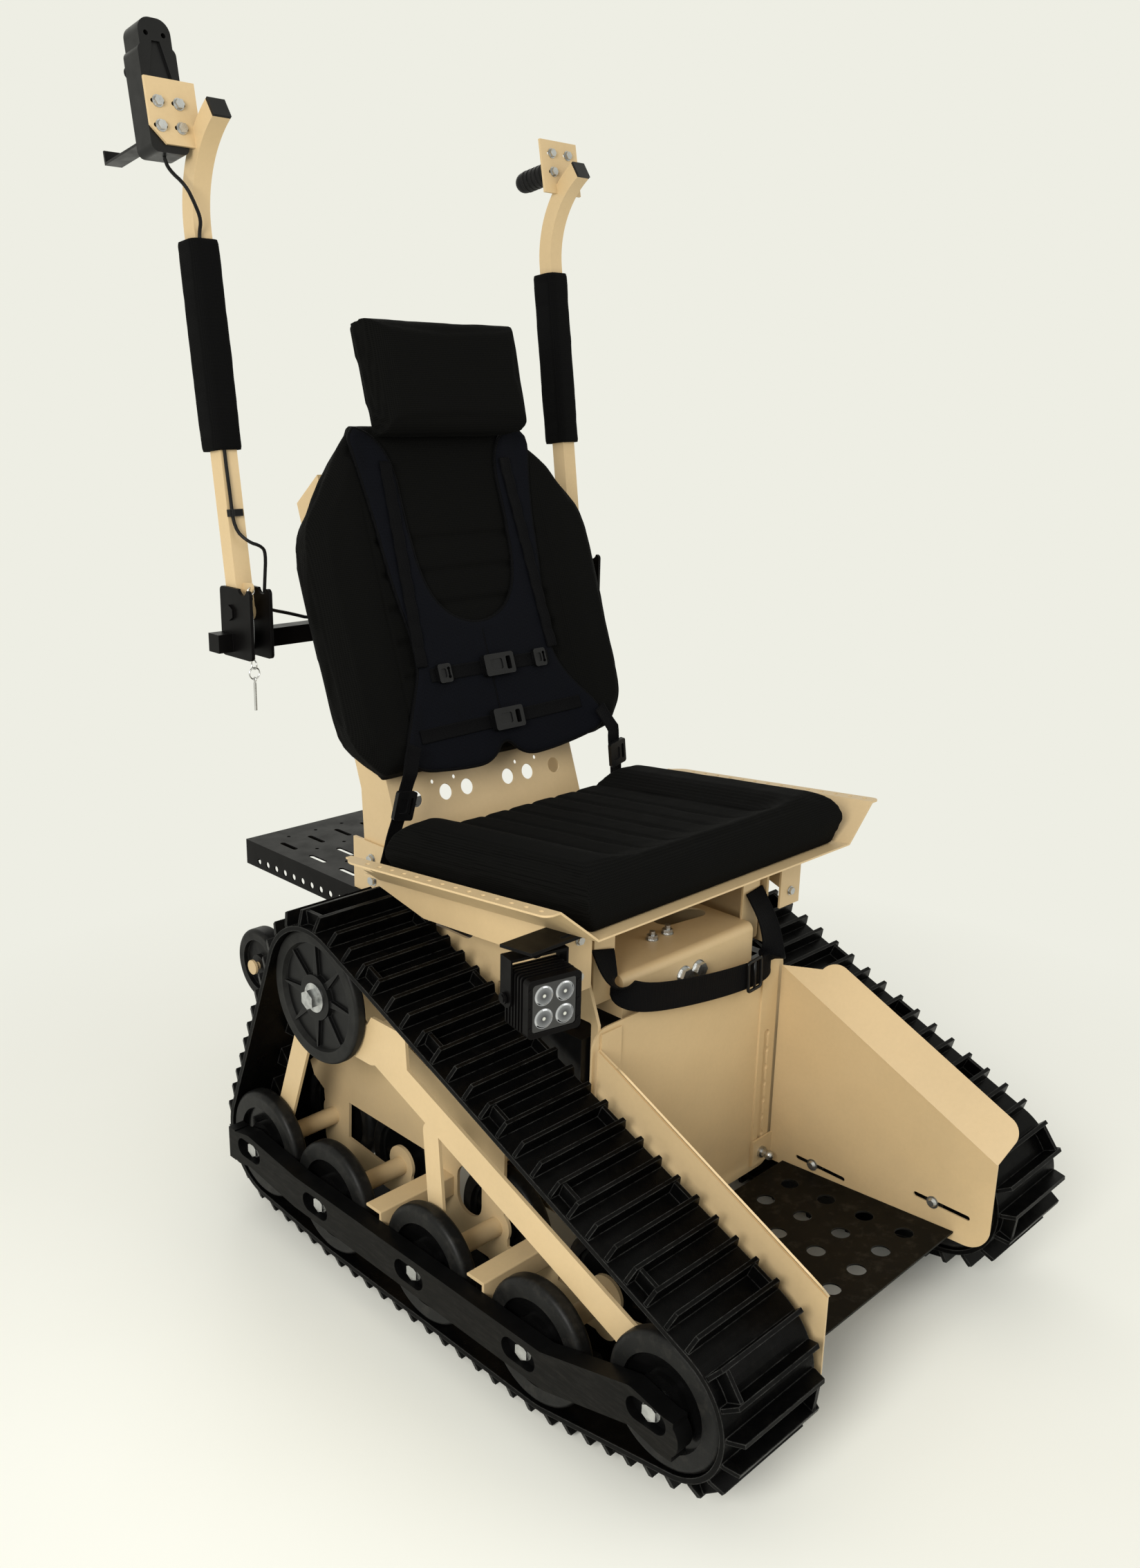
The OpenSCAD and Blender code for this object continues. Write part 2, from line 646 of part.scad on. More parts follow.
module pan_plan2() {
  w = pan_x + wing_out + lip_w;
  r = 16;
  translate([-w + r, 0]) square([2 * (w - r), pan_l - 70]);
  translate([-w, r]) square([2 * w, pan_l - 110 - r]);
  for (s = [-1, 1]) translate([s * (w - r), r]) circle(r);
  for (s = [-1, 1]) translate([s * (w - 40), pan_l - 110]) circle(40);
  translate([-pan_x - 30, 0]) square([2 * pan_x + 60, pan_l - 40]);
  translate([-pan_x, 0]) square([2 * pan_x, pan_l]);
}

module seat_pan() color(tan_paint) {
  pan_space() difference() {
    intersection() {
      translate([0, pan_l / 2, 0]) rotate([90, 0, 0]) linear_extrude(pan_l, center = true) pan_section2();
      translate([0, 0, -20]) linear_extrude(wing_up + 40) pan_plan2();
    }
    both() for (i = [0 : lip_holes - 1])
      translate([pan_x + wing_out + lip_w / 2, 26 + i * (pan_l - 160) / (lip_holes - 1), wing_up - 10])
        cylinder(r = lip_hole_r, h = 20, $fn = 24);
  }
  // side skirts with a front flange
  both() yz(4, 302) polygon([[box_y, pan_under(box_y)], [pan_y + pan_l - 20, pan_under(pan_y + pan_l - 20)],
    [pan_y + pan_l - 20, 664], [700, 640], [480, 655], [box_y, 612]]);
  both() translate([246, box_y, 612]) cube([56, 4, pan_under(box_y + 4) - 612]);
}

// back

module back_space() translate([0, back_y, back_z]) rotate([-back_lean, 0, 0]) children();
// point of the back's own plane in (y, z)
function back_pt(d, s) = [back_y + d * cos(back_lean) + s * sin(back_lean),
                          back_z - d * sin(back_lean) + s * cos(back_lean)];

module back_frame() color(tan_paint) difference() {
  union() {
    back_space() translate([-back_x, 0, -118]) cube([2 * back_x, sheet_t, 118 + back_h]);
    both() yz(4, back_x + 1 - eps) polygon([back_pt(0, -118), back_pt(0, back_h), back_pt(back_d,
        back_h - 30),
      back_pt(back_d, 40), [chassis_y1 - 26, 690], [chassis_y1 - 26, 602], [back_pt(0, -118).x, 602]]);
  }
  back_space() {
    for (x = [52, 104, 175]) both() translate([x, 0, 0]) rotate([90, 0, 0]) cylinder(r = back_hole_r,
        h = 30, center = true);
    for (x = [78, 130]) both() translate([x, 0, 24]) rotate([90, 0, 0]) cylinder(r = 4, h = 30,
        center = true);
  }
  yz(600) translate([cross_y, cross_z]) square(cross_w + 0.6, center = true);
}

module rear_rack() color(black_paint) difference() {
  union() {
    translate([-chassis_x - sheet_t, rack_y0, rack_z - sheet_t]) cube([2 * (chassis_x + sheet_t),
        rack_y1 - rack_y0, sheet_t]);
    both() translate([chassis_x, rack_y0, rack_z - rack_flange]) cube([sheet_t, rack_y1 - rack_y0,
        rack_flange]);
    translate([-chassis_x, rack_y1 - sheet_t, rack_z - rack_flange]) cube([2 * chassis_x, sheet_t,
        rack_flange]);
  }
  // front of the plate opens round the chassis plates and the back frame
  translate([-chassis_x - eps, rack_y0 - eps, rack_z - 20]) cube([2 * chassis_x + 2 * eps, chassis_y1 +
      1 - rack_y0, 40]);
  for (k = [-3 : 3], y = [1055, 1155, 1255])
    translate([k * 66.7, y, rack_z]) linear_extrude(20, center = true) rotate(90) slot2(54, 11);
  for (k = [-2.5 : 2.5], y = [1105, 1205, 1305])
    translate([k * 66.7, y, rack_z]) cylinder(r = 4, h = 20, center = true, $fn = 24);
  both() for (i = [0 : 9]) rod_x(6.5, 20, [chassis_x, 1030 + i * 30.5, rack_z - 37]);
  both() for (y = [rack_y0 + 14, rack_y0 + 28]) rod_x(3, 20, [chassis_x, y, rack_z - 26]);
}

// soft parts

// Solid under a field of heights. rows is a list of rows of [x, y, z]; the flat underside lies at z = 0,
// drawn in towards the middle by the factor draw.
module field(rows, draw = 1) {
  nv = len(rows);
  nu = len(rows[0]);
  top = [for (r = rows) for (p = r) p];
  rim = concat([for (i = [0 : nu - 1]) i], [for (j = [1 : nv - 1]) j * nu + nu - 1],
               [for (i = [nu - 2 : -1 : 0]) (nv - 1) * nu + i], [for (j = [nv - 2 : -1 : 1]) j * nu]);
  nr = len(rim);
  mid = (rows[0][0].y + rows[nv - 1][0].y) / 2;
  low = [for (k = rim) [top[k].x * draw, mid + (top[k].y - mid) * draw, 0]];
  polyhedron(points = concat(top, low, [[0, mid, 0]]), faces = concat(
    [for (j = [0 : nv - 2]) for (i = [0 : nu - 2]) for (f = [0, 1]) f == 0
      ? [j * nu + i, (j + 1) * nu + i, j * nu + i + 1]
      : [j * nu + i + 1, (j + 1) * nu + i, (j + 1) * nu + i + 1]],
    [for (k = [0 : nr - 1]) for (f = [0, 1]) let (m = (k + 1) % nr) f == 0
      ? [rim[k], rim[m], nv * nu + k] : [rim[m], nv * nu + m, nv * nu + k]],
    [for (k = [0 : nr - 1]) [nv * nu + k, nv * nu + (k + 1) % nr, nv * nu + nr]]));
}

// rounding of an edge: 0 at the edge, 1 from d inwards
function edge(t, d) = t >= d ? 1 : t <= 0 ? 0 : sqrt(1 - pow(1 - t / d, 2));
// groove of half width w at distance t from its line
function groove(t, w) = abs(t) >= w ? 0 : pow(cos(90 * t / w), 2);

// half width of the back cushion over its length, as parts of cushion_h and cushion_x
back_form = [[0, 0.80], [0.04, 0.885], [0.12, 0.985], [0.3, 1], [0.66, 0.995], [0.8, 0.84], [0.92,
    0.66], [1, 0.5]];
function back_half(s) = cushion_x * pick(s / cushion_h, back_form);
// front of the back cushion at (x, s), g adds cover thickness
function back_front(x, s, g) = cushion_d + g + bolster_d * smooth(0.5, 0.74, abs(x) / cushion_x)
  - 4 * pow(x / cushion_x, 2);
// sewn channels across the middle of the back
function back_chan(x, s) = abs(x) > 0.60 * cushion_x ? 0
  : (1 - smooth(0.5, 0.60, abs(x) / cushion_x)) * 9 * max([for (i = [0 : 5]) groove(s - (110 + 61 * i),
      12)]);
function back_edge(x, s) = let (h = back_half(s))
  min(edge(h - abs(x), 34), edge(s, 34), edge(cushion_h - s, 30));

module back_body(g, nu, nv, chan, rim) rotate([90, 0, 0]) field([for (j = [0 : nv])
    let (s = cushion_h * j / nv)
  [for (i = [0 : nu]) let (u = 2 * i / nu - 1, x = back_half(s) * sin(90 * u) * (1 - 0.02 * u * u))
    [x, s, 8 + (back_front(x, s, g) - 8 - (chan ? back_chan(x, s) : 0)) * (rim ? 0.36 +
        0.64 * back_edge(x, s) : 1)]]],
  rim ? 0.94 : 1);

module back_cushion() color(cloth)
  back_space() translate([0, -0.5, back_s0]) back_body(0, 26, 42, true, true);

// shell of thickness t lying g over the cushion, cut to a flat outline
module on_back(g, t) back_space() translate([0, -0.5, back_s0]) resize([0, 0, 0]) intersection() {
  difference() { back_body(g + t, 26, 21, false, false); back_body(g, 26, 21, false, false); }
  rotate([90, 0, 0]) linear_extrude(200) children();
}

vest_half = [[0, 150], [72, 174], [112, 233], [122, 338], [121, 489], [222, 541], [190, 368], [182, 244],
             [157, 103], [188, 32], [250, -52], [231, -89], [104, -104], [40, -103], [0, -60]];
vest_t = 8;
vest_gap = 0.9;

module vest2() translate([0, 97]) for (s = [0, 1]) mirror([s, 0]) polygon(vest_half);

module harness_vest() color(navy) on_back(vest_gap, vest_t) vest2();

module harness_straps() color(black_paint) {
  on_back(vest_gap + vest_t + 0.4, 2.4) {
    translate([0, 168]) { square([290, 25], center = true); }
    translate([0, 67]) rotate(1) square([400, 25], center = true);
    for (s = [-1, 1]) translate([s * 152, 370]) rotate(s * 3) square([25, 370], center = true);
  }
  // straps from the vest's lower corners down to the seat pan
  for (s = [-1, 1]) for (k = [0, 1]) let (a = side_pts(s)) hull() {
    translate(a[k]) rotate([-back_lean, 0, 0]) cube([30, 2.4, 3], center = true);
    translate(a[k + 1]) rotate([k == 0 ? -back_lean : 4, 0, 0]) cube([30, 2.4, 3], center = true);
  }
}
// route of a side strap in datum coordinates
strap_d = back_front(258, 0, vest_gap + vest_t) + 0.5 + 1.6;
function side_pts(s) = [concat(s * 232, back_pt(-strap_d, back_s0 + 52)), concat(s * 256,
    back_pt(-strap_d, back_s0 + 4)),
                        [s * 300, 812, pan_z - (812 - pan_y) * tan(pan_tilt) + 2]];

module buckle(w, h, d) {
  difference() {
    rotate([90, 0, 0]) linear_extrude(d, center = true) rrect(w, h, 5);
    rotate([90, 0, 0]) linear_extrude(d + 1, center = true) translate([w * 0.3, 0]) rrect(w * 0.16,
        h * 0.62, 3);
    translate([-w * 0.12, -d / 2, 0]) rotate([90, 0, 0]) linear_extrude(4, center = true)
        rrect(w * 0.42, h * 0.5, 4);
  }
}

module harness_buckles() color(plastic) {
  back_space() translate([0, -cushion_d - vest_gap - vest_t - 3.3 - 0.3, back_s0]) {
    for (p = [[10, 168], [5, 67]]) translate([p.x, -6, p.y]) buckle(72, 40, 12);
    for (s = [-1, 1]) translate([s * 118, -3.5, 168]) buckle(30, 34, 7);
  }
  for (s = [-1, 1]) let (a = side_pts(s)) translate((a[1] * 0.7 + a[2] * 0.3) + [0, -6.9, 0])
    rotate([4, -s * 12, 0]) buckle(42, 52, 8);
}

// front of the seat rises into a roll, sides into bolsters, with fore-and-aft channels between
function seat_top(x, y) = let (a = abs(x) / seat_x)
  seat_h - 22 * (1 - smooth(0.5, 0.74, a)) * smooth(0.0, 0.22, y / seat_l) - 3 * pow(a, 4)
  - (a > 0.56 ? 0 : 8 * max([for (i = [0 : seat_channels - 1])
      groove(x - 0.53 * seat_x * (2 * i / (seat_channels - 1) - 1), 13)]) * smooth(0.02, 0.12, y / seat_l));
function seat_edge(x, y) = let (h = seat_x)
  min(edge(h - abs(x), 40), edge(y, 42), edge(seat_l - y, 30));

// columns of the seat's grid: even across the channels, closing up towards the sides
function seat_col(k) = let (m = 0.53 * seat_x) abs(k) <= 12 ? m * k / 12
  : sign(k) * (m + (seat_x - m) * sin(90 * (abs(k) - 12) / 8));

module seat_cushion() color(cloth) pan_space() translate([0, 8, 0.6])
  field([for (j = [0 : 22]) let (y = seat_l * (1 - cos(180 * j / 22)) / 2)
    [for (i = [-20 : 20]) let (x = seat_col(i))
      [x, y, 18 + (seat_top(x, y) - 18) * (0.35 + 0.65 * seat_edge(x, y))]]], 0.94);

module headrest() color(cloth) {
  translate([0, 1011, 1410]) rotate([-head_lean, 0, 0]) {
    rotate([90, 0, 0]) field([for (j = [0 : 12]) let (s = head_h * (1 - cos(180 * j / 12)) / 2)
      [for (i = [0 : 20]) let (x = head_x * (0.93 + 0.07 * s / head_h) * sin(90 * (2 * i / 20 - 1)))
        [x, s, 14 + (head_d - 14 - 8 * pow(cos(90 * x / head_x), 2)) * (0.4 + 0.6 *
          min(edge(head_x - abs(x), 30), edge(s, 30), edge(head_h - s, 30)))]]]);
    // carrier plate and post at the back
    translate([-70, 0.3, 20]) cube([140, 4, 150]);
  }
  // two flat posts up the back sheet, then forward over the cushion
  both() yz(16, 45) {
    bar2(back_pt(sheet_t + 7.3, back_h - 90), back_pt(sheet_t + 7.3, cushion_h + back_s0 + 50), 14);
    bar2(back_pt(sheet_t + 7.3, cushion_h + back_s0 + 50), [1050, 1506], 14);
  }
}

// webbing from the left ear, hanging down and across to the right ear
strap_route = [[196, 383, 655], [203, 352, 600], [196, 334, 548], [150, 328, 530], [0, 326, 545],
    [-150, 330, 575],
               [-206, 346, 610], [-198, 383, 655]];

module leg_strap() color(black_paint) {
  for (i = [0 : len(strap_route) - 2]) {
    a = strap_route[i];
    b = strap_route[i + 1];
    hull() {
      translate(a) rotate([0, 0, 0]) strap_bit(i);
      translate(b) strap_bit(i + 1);
    }
  }
  translate([130, 324.5, 531]) rotate([0, -4, 0]) buckle(40, 60, 6);
}
// short piece of webbing; the ends hang, the middle lies across
module strap_bit(i) {
  flat = i >= 3 && i <= 5;
  if (flat) cube([2.4, 2.4, 50], center = true);
  else cube([50, 2.4, 2.4], center = true);
}

// batteries and motors

module batteries() color(plastic) both() {
  translate([16, bay_y0 + 6, bay_z0 + 0.3]) {
    difference() {
      cube([236, bay_y1 - bay_y0 - 12, 232]);
      translate([20, 20, 224]) cube([196, bay_y1 - bay_y0 - 52, 20]);
    }
    for (x = [44, 190]) translate([x, 60, 222]) cylinder(r = 9, h = 12);
    translate([70, 90, 222]) cube([96, 22, 9]);
  }
}

module gear_motors() color(plastic) both() translate([0, drive_y, drive_z]) difference() {
  union() {
    rod_x(56, 32, [-plate_in + 9, 0, 0]);
    rod_x(72, 60, [-plate_in + 24 + 30, 0, 0]);
    rod_x(50, 100, [-plate_in + 84 + 50 - eps, 0, 0]);
    for (a = [0 : 7]) rotate([a * 45 + 22.5, 0, 0]) rod_x(5, 6, [-plate_in + 22, 62, 0]);
    translate([-plate_in + 0.3, -70, -88]) cube([30, 140, 30]);
  }
  rod_x(shaft_r + run_gap, 60, [-plate_in - 1, 0, 0]);
}

// anti-tip wheels
module tip_wheel() translate([-chassis_x - plate_t - 2, tip_y, tip_z]) rotate([0, -90, 0])
    rotate_extrude($fn = 64) {
  difference() {
    translate([8 + run_gap, 0]) square([tip_r - 8 - 8 - run_gap, 38]);
    translate([22, 28]) square([tip_r - 44, 12]);
    translate([22, -2]) square([tip_r - 44, 10]);
  }
  translate([tip_r - 8 - eps, 8]) square([8 + eps, 22]);
  for (v = [8, 30]) translate([tip_r - 8, v]) circle(8, $fn = 24);
}
module right_tip_wheel() color(rubber) tip_wheel();
module left_tip_wheel() color(rubber) mirror([1, 0, 0]) tip_wheel();

// arms

module arm_space() translate([-arm_x, hinge_y, hinge_z]) rotate([-arm_lean, 0, 0]) children();
// place on the bent part of the arm, t degrees round it
module arm_end(t) translate([0, -arm_bend_r, arm_straight]) rotate([t, 0, 0]) translate([0, arm_bend_r,
    0]) children();

// square tube with its forward bend, standing on the hinge axis
module arm_tube() difference() {
  union() {
    translate([-arm_w / 2, -arm_w / 2, 0]) cube([arm_w, arm_w, arm_straight + eps]);
    translate([0, -arm_bend_r, arm_straight]) rotate([0, 90, 0]) rotate([0, 0, 90])
      rotate_extrude(angle = arm_bend, $fn = 96) translate([arm_bend_r - arm_w / 2, -arm_w / 2])
          square(arm_w);
    rotate([0, 90, 0]) cylinder(r = arm_w / 2 + 2, h = arm_w, center = true);
  }
  rod_x(hinge_r + run_gap, arm_w + 20, [0, 0, 0]);
}

module arm_cap() arm_end(arm_bend) translate([-arm_w / 2, -arm_w / 2, 0.02]) cube([arm_w, arm_w, 5]);

// padded sleeve on the tube
module arm_pad() translate([0, 0, pad_start]) difference() {
  translate([0, 4, 0]) linear_extrude(pad_l) rrect(pad_w, arm_w + 24, 15);
  translate([0, 0, -1]) linear_extrude(pad_l + 2) square(arm_w + 0.3, center = true);
  translate([cable_x, -arm_w / 2 - cable_r - 0.4, -1]) cylinder(r = cable_r + 0.3, h = pad_l + 2);
}

// slotted plates that stand on the bend
plate_y = -50;
plate_lean = 3;
module plate_space(z) translate([0, plate_y, z]) rotate([-plate_lean, 0, 0]) children();

module right_plate() plate_space(735) difference() {
  translate([0, 5, 0]) rotate([90, 0, 0]) linear_extrude(5)
    polygon([[-91, 26], [-66, 0], [-4, 0], [-4, 98], [-91, 98]]);
  for (x = [-73, -37], z = [26, 62]) translate([x, 0, z]) rotate([90, 0, 0]) linear_extrude(20,
      center = true) slot2(24, 7);
}

module left_plate() plate_space(750) difference() {
  translate([-50, 0, 0]) cube([100, 5, 100]);
  for (x = [-22, 22], z = [40, 75]) translate([x, 0, z]) rotate([90, 0, 0]) linear_extrude(20,
      center = true) slot2(24, 7);
}

module right_arm_tube() color(tan_paint) arm_space() { arm_tube(); right_plate(); wire_tab(); }
module left_arm_tube() color(tan_paint) mirror([1, 0, 0]) arm_space() { arm_tube(); left_plate(); }

module right_arm_pad() color(cloth) arm_space() arm_pad();
module left_arm_pad() color(cloth) mirror([1, 0, 0]) arm_space() arm_pad();
module right_arm_cap() color(plastic) arm_space() arm_cap();
module left_arm_cap() color(plastic) mirror([1, 0, 0]) arm_space() arm_cap();

cross_y = hinge_y + 13;
cross_z = hinge_z - 52;

// bar behind the back with the hinge plates and bolts of both arms
module arm_cross_bar() color(black_paint) {
  yz(910) translate([cross_y, cross_z]) square(cross_w, center = true);
  both() {
    for (s = [-1, 1]) yz(hinge_t, -arm_x + s * (hinge_in + hinge_t / 2)) difference() {
      translate([hinge_y - 14, hinge_z - 17]) rrect(92, 120, 8);
      translate([hinge_y - 38, hinge_z + 47]) circle(14);
    }
    rod_x(hinge_r, 2 * (hinge_in + hinge_t) + 4, [-arm_x, hinge_y, hinge_z]);
    for (s = [-1, 1]) hex_x(24, 5, [-arm_x + s * (hinge_in + hinge_t + 2.5), hinge_y, hinge_z]);
    yz(4, -back_x - 5.3) translate([cross_y - 26, cross_z]) rrect(84, 66, 6);
  }
}

// joystick

cable_r = 3;
cable_x = -10;
pod_x = -58;
pod_y0 = plate_y + 5.3;
pod_d = 46;
pod_l = 200;

module pod_space() translate([pod_x, plate_y, 735]) rotate([-plate_lean, 0, 0]) translate([0, 5.3,
    -12]) children();

// sealed box, nose up, with a tapering end and a recess on its underside
module joystick_pod() color(plastic) arm_space() pod_space() {
  difference() {
    rotate([90, 0, 0]) mirror([0, 0, 1]) linear_extrude(pod_d) {
      translate([0, 80]) rrect(66, 160, 12);
      translate([0, 150]) rrect(56, 100, 22);
    }
    for (s = [-1, 1]) translate([s * 15, -eps, 176]) rotate([-90, 0, 0]) cylinder(r = 4, h = 9);
    translate([0, -eps, 140]) rotate([90, 0, 0]) mirror([0, 0, 1]) linear_extrude(5)
      polygon([[-20, -28], [20, -28], [7, 26], [-7, 26]]);
    translate([0, pod_d - 13, 147]) rotate([-90, 0, 0]) cylinder(r = 20, h = 14);
  }
  // flat bent bar beside the box
  translate([-33, pod_d / 2, 20]) {
    translate([0, 23.1, 0]) cube([30, 108, 4]);
    translate([0, 127.1, 0]) cube([30, 4, 22]);
  }
  translate([-24, pod_d - eps, 40]) cube([48, 4, 46]);
}

module stick_space() arm_space() pod_space() translate([0, pod_d - 3, 147]) children();

// ring that tilts one way on two pins, and the lever whose ball turns in it the other way
ball_r = 8.7;
module joystick_gimbal() color(black_paint) stick_space() {
  difference() {
    rotate([-90, 0, 0]) cylinder(r = 15, h = 5, center = true);
    rotate([-90, 0, 0]) cylinder(r = ball_r + 0.3, h = 8, center = true);
  }
  for (s = [-1, 1]) translate([0, 0, s * 17]) cylinder(r = 2, h = 5.4, center = true, $fn = 24);
}

module joystick_lever() color(rubber) stick_space() rotate([-90, 0, 0]) {
  sphere(r = ball_r);
  cylinder(r = 4, h = 36);
  translate([0, 0, 32]) cylinder(r1 = 7, r2 = 10, h = 16);
  translate([0, 0, 48]) cylinder(r1 = 10, r2 = 7, h = 5);
}

module joystick_bolts() color(zinc) arm_space() plate_space(735)
  for (x = [-73, -37], z = [26, 62]) screw_y(4.5, [x, -0.02, z]);

// route of the joystick cable along the arm, in the arm's own coordinates
cable_y = -arm_w / 2 - cable_r - 0.4;
clip_y = -arm_w / 2 - 5;
cable_route = [[pod_x, plate_y + 28, 720.9], [pod_x + 4, plate_y + 26, 704], [-44, -52, 676], [-28,
    -46, 652],
               [cable_x - 2, -34, 630], [cable_x, cable_y, 612], [cable_x, cable_y, 590], [cable_x,
                   cable_y, 430],
               [cable_x, cable_y, 262], [cable_x, cable_y, 240], [cable_x, clip_y, 200],
               [cable_x, clip_y, 140],
               [4, -38, 116], [28, -38, 108], [41, -30, 96], [44, -12, 48], [43.4, 0, 0]];

// route with its corners cut twice
function cut(p) = concat([p[0]], [for (i = [0 : len(p) - 2]) each [p[i] * 0.75 + p[i + 1] * 0.25,
  p[i] * 0.25 + p[i + 1] * 0.75]], [p[len(p) - 1]]);

// round cable along a route that never runs along Y
module cable(route, r, sides = 8) {
  p = cut(cut(route));
  n = len(p);
  pts = [for (j = [0 : n - 1]) let (t = p[min(n - 1, j + 1)] - p[max(0, j - 1)], a = cross(t, [0, 1, 0]),
    e = a / norm(a), g = cross(e, t) / norm(t)) for (i = [0 : sides - 1])
      p[j] + r * (cos(360 * i / sides) * e + sin(360 * i / sides) * g)];
  polyhedron(points = pts, faces = concat(
    [for (j = [0 : n - 2]) for (i = [0 : sides - 1]) for (f = [0, 1]) let (m = (i + 1) % sides) f == 0
      ? [j * sides + i, j * sides + m, (j + 1) * sides + m] : [j * sides + i, (j + 1) * sides + m, (j +
          1) * sides + i]],
    [[for (i = [sides - 1 : -1 : 0]) i]], [[for (i = [0 : sides - 1]) (n - 1) * sides + i]]));
}

module joystick_cable() color(rubber) arm_space() {
  cable(cable_route, cable_r);
  // clip that holds the cable on the tube
  translate([cable_x - 7, -arm_w / 2 - 9, 160]) difference() {
    cube([26, 8.9, 12]);
    translate([7, 4, -1]) cylinder(r = cable_r + 0.9, h = 20);
  }
}

tail_route = [[-353.5, hinge_y, hinge_z], [-338, hinge_y + 6, hinge_z - 6], [-300, hinge_y + 14,
    hinge_z - 16],
              [-255, hinge_y + 4, hinge_z - 30], [-236.5, hinge_y - 24, hinge_z - 8], [-234.6,
                  hinge_y - 58, hinge_z + 6]];

module cable_tail() color(rubber) cable(tail_route, cable_r);

// wire lanyard that hangs from a tab on the right arm, with its ferrules, ring and locking pin
hang = [0, -arm_w / 2 - 20, 40];
wire_r = 1.2;
wire_top = -22;
wire_end = -112;
// points of the hanging wire under its eye
wire_route = [[0, 0, wire_top], [0, -2, -44], [0, -4, -66], [0, -3, -90], [0, 0, wire_end]];

module hang_space() translate([-arm_x, hinge_y, hinge_z] + [0,
  hang.y * cos(arm_lean) + hang.z * sin(arm_lean), hang.z * cos(arm_lean) - hang.y * sin(arm_lean)])
      children();

// smooth curve through a list of points, t from 0 to its number of steps
function curve(p, t) = let (n = len(p), i = min(n - 2, floor(t)), k = t - i, a = p[max(0, i - 1)], b = p[i],
  c = p[i + 1], d = p[min(n - 1, i + 2)])
  0.5 * (2 * b + (c - a) * k + (2 * a - 5 * b + 4 * c - d) * k * k + (3 * b - a - 3 * c + d) * k * k * k);

// round tube in the plane x = 0 along a curve, with level end faces
module hung_tube(p, r, rings, sides) {
  pts = [for (j = [0 : rings]) let (c = curve(p, (len(p) - 1) * j / rings))
    for (i = [0 : sides - 1]) [c.x + r * cos(360 * i / sides), c.y + r * sin(360 * i / sides), c.z]];
  polyhedron(points = pts, faces = concat(
    [for (j = [0 : rings - 1]) for (i = [0 : sides - 1]) let (m = (i + 1) % sides)
      [j * sides + i, j * sides + m, (j + 1) * sides + m, (j + 1) * sides + i]],
    [[for (i = [sides - 1 : -1 : 0]) i]], [[for (i = [0 : sides - 1]) rings * sides + i]]));
}

module lanyard_wire() color(zinc) hang_space() hung_tube(wire_route, wire_r, 24, 8);

module ring_xz(r, w, z) translate([0, 0, z]) rotate([90, 0, 0]) rotate_extrude($fn = 32) translate([r,
    0]) circle(w, $fn = 12);

module lanyard_pin() color(zinc) hang_space() {
  ring_xz(6, wire_r, -6);
  translate([0, 0, wire_top]) cylinder(r = 2.6, h = 8.5, $fn = 16);
  translate([0, 0, wire_end - 12]) cylinder(r = 2.6, h = 12, $fn = 16);
  rotate([0, 0, 90]) ring_xz(8, wire_r, wire_end - 21.4);
  ring_xz(10, 1.3, wire_end - 36.7);
  rotate([0, 0, 90]) ring_xz(3.5, wire_r, wire_end - 47.4);
  translate([0, 0, wire_end - 102]) cylinder(r = 2.5, h = 49.7);
}

// tab with an eye, on the front of the right arm tube
module wire_tab() yz(3) difference() {
  union() { translate([hang.y, hang.z]) circle(8); translate([hang.y, hang.z - 8]) square([24,
      16]); }
  translate([hang.y, hang.z]) circle(wire_r + 0.3);
}

// left hand grip

module left_hand_grip() color(rubber) mirror([1, 0, 0]) arm_space() plate_space(750) translate([6, 5.3,
    47]) rotate([-90, 0, 0]) {
  cylinder(r = 20, h = 92);
  for (i = [0 : 6]) translate([0, 0, 8 + i * 12]) cylinder(r = 21, h = 5);
  translate([0, 0, 92]) sphere(r = 19.9);
}

module left_grip_bolts() color(zinc) mirror([1, 0, 0]) arm_space() plate_space(750)
  for (x = [-22, 22], z = [40, 75]) screw_y(4.5, [x, -0.02, z]);

// footrest

guard_rear = chassis_y0 - 8;
guard_front_y = -guard_front;

// side plate of the footrest in (y, z)
module guard2() difference() {
  r = 46;
  union() {
    polygon([[guard_front_y, guard_z0 + r], [guard_front_y + r, guard_z0], [guard_rear, guard_z0 - 18],
             [guard_rear, guard_rear_z], [guard_front_y, guard_front_z]]);
    translate([guard_front_y + r, guard_z0 + r]) circle(r);
  }
  translate([-18, slot_z]) slot2(108, 9);
  translate([228, slot_z - 40]) slot2(108, 9);
}
slot_z = 181;
flange_turn = 43;

module foot_guards() color(tan_paint) both() {
  a = [guard_front_y, guard_front_z];
  b = [guard_rear, guard_rear_z];
  l = norm(b - a);
  r = 30;
  w = guard_flange;
  yz(sheet_t, guard_x) guard2();
  // flange bent outwards along the sloping top edge
  translate([guard_x - sheet_t / 2, a.x, a.y]) rotate([atan2(b.y - a.y, b.x - a.x), 0, 0])
    rotate([0, flange_turn - 90, 0]) linear_extrude(sheet_t) {
      polygon([[0, 0], [w - r, 4], [w, 4 + r], [w, l - 90], [w - r, l - 90 + r], [0, l]]);
      translate([w - r, 4 + r]) circle(r);
      translate([w - r, l - 90]) circle(r);
    }
  // inward tab that bolts to the adjusting posts
  translate([186, guard_rear - 4, 116]) difference() {
    cube([guard_x - 186 + sheet_t / 2, 3.6, 52]);
    translate([24, -1, post_z0 - 116]) rotate([-90, 0, 0]) cylinder(r = 6.2, h = 10);
  }
}

module foot_space() translate([0, foot_l - foot_front, foot_z]) rotate([-foot_slope, 0, 0]) children();

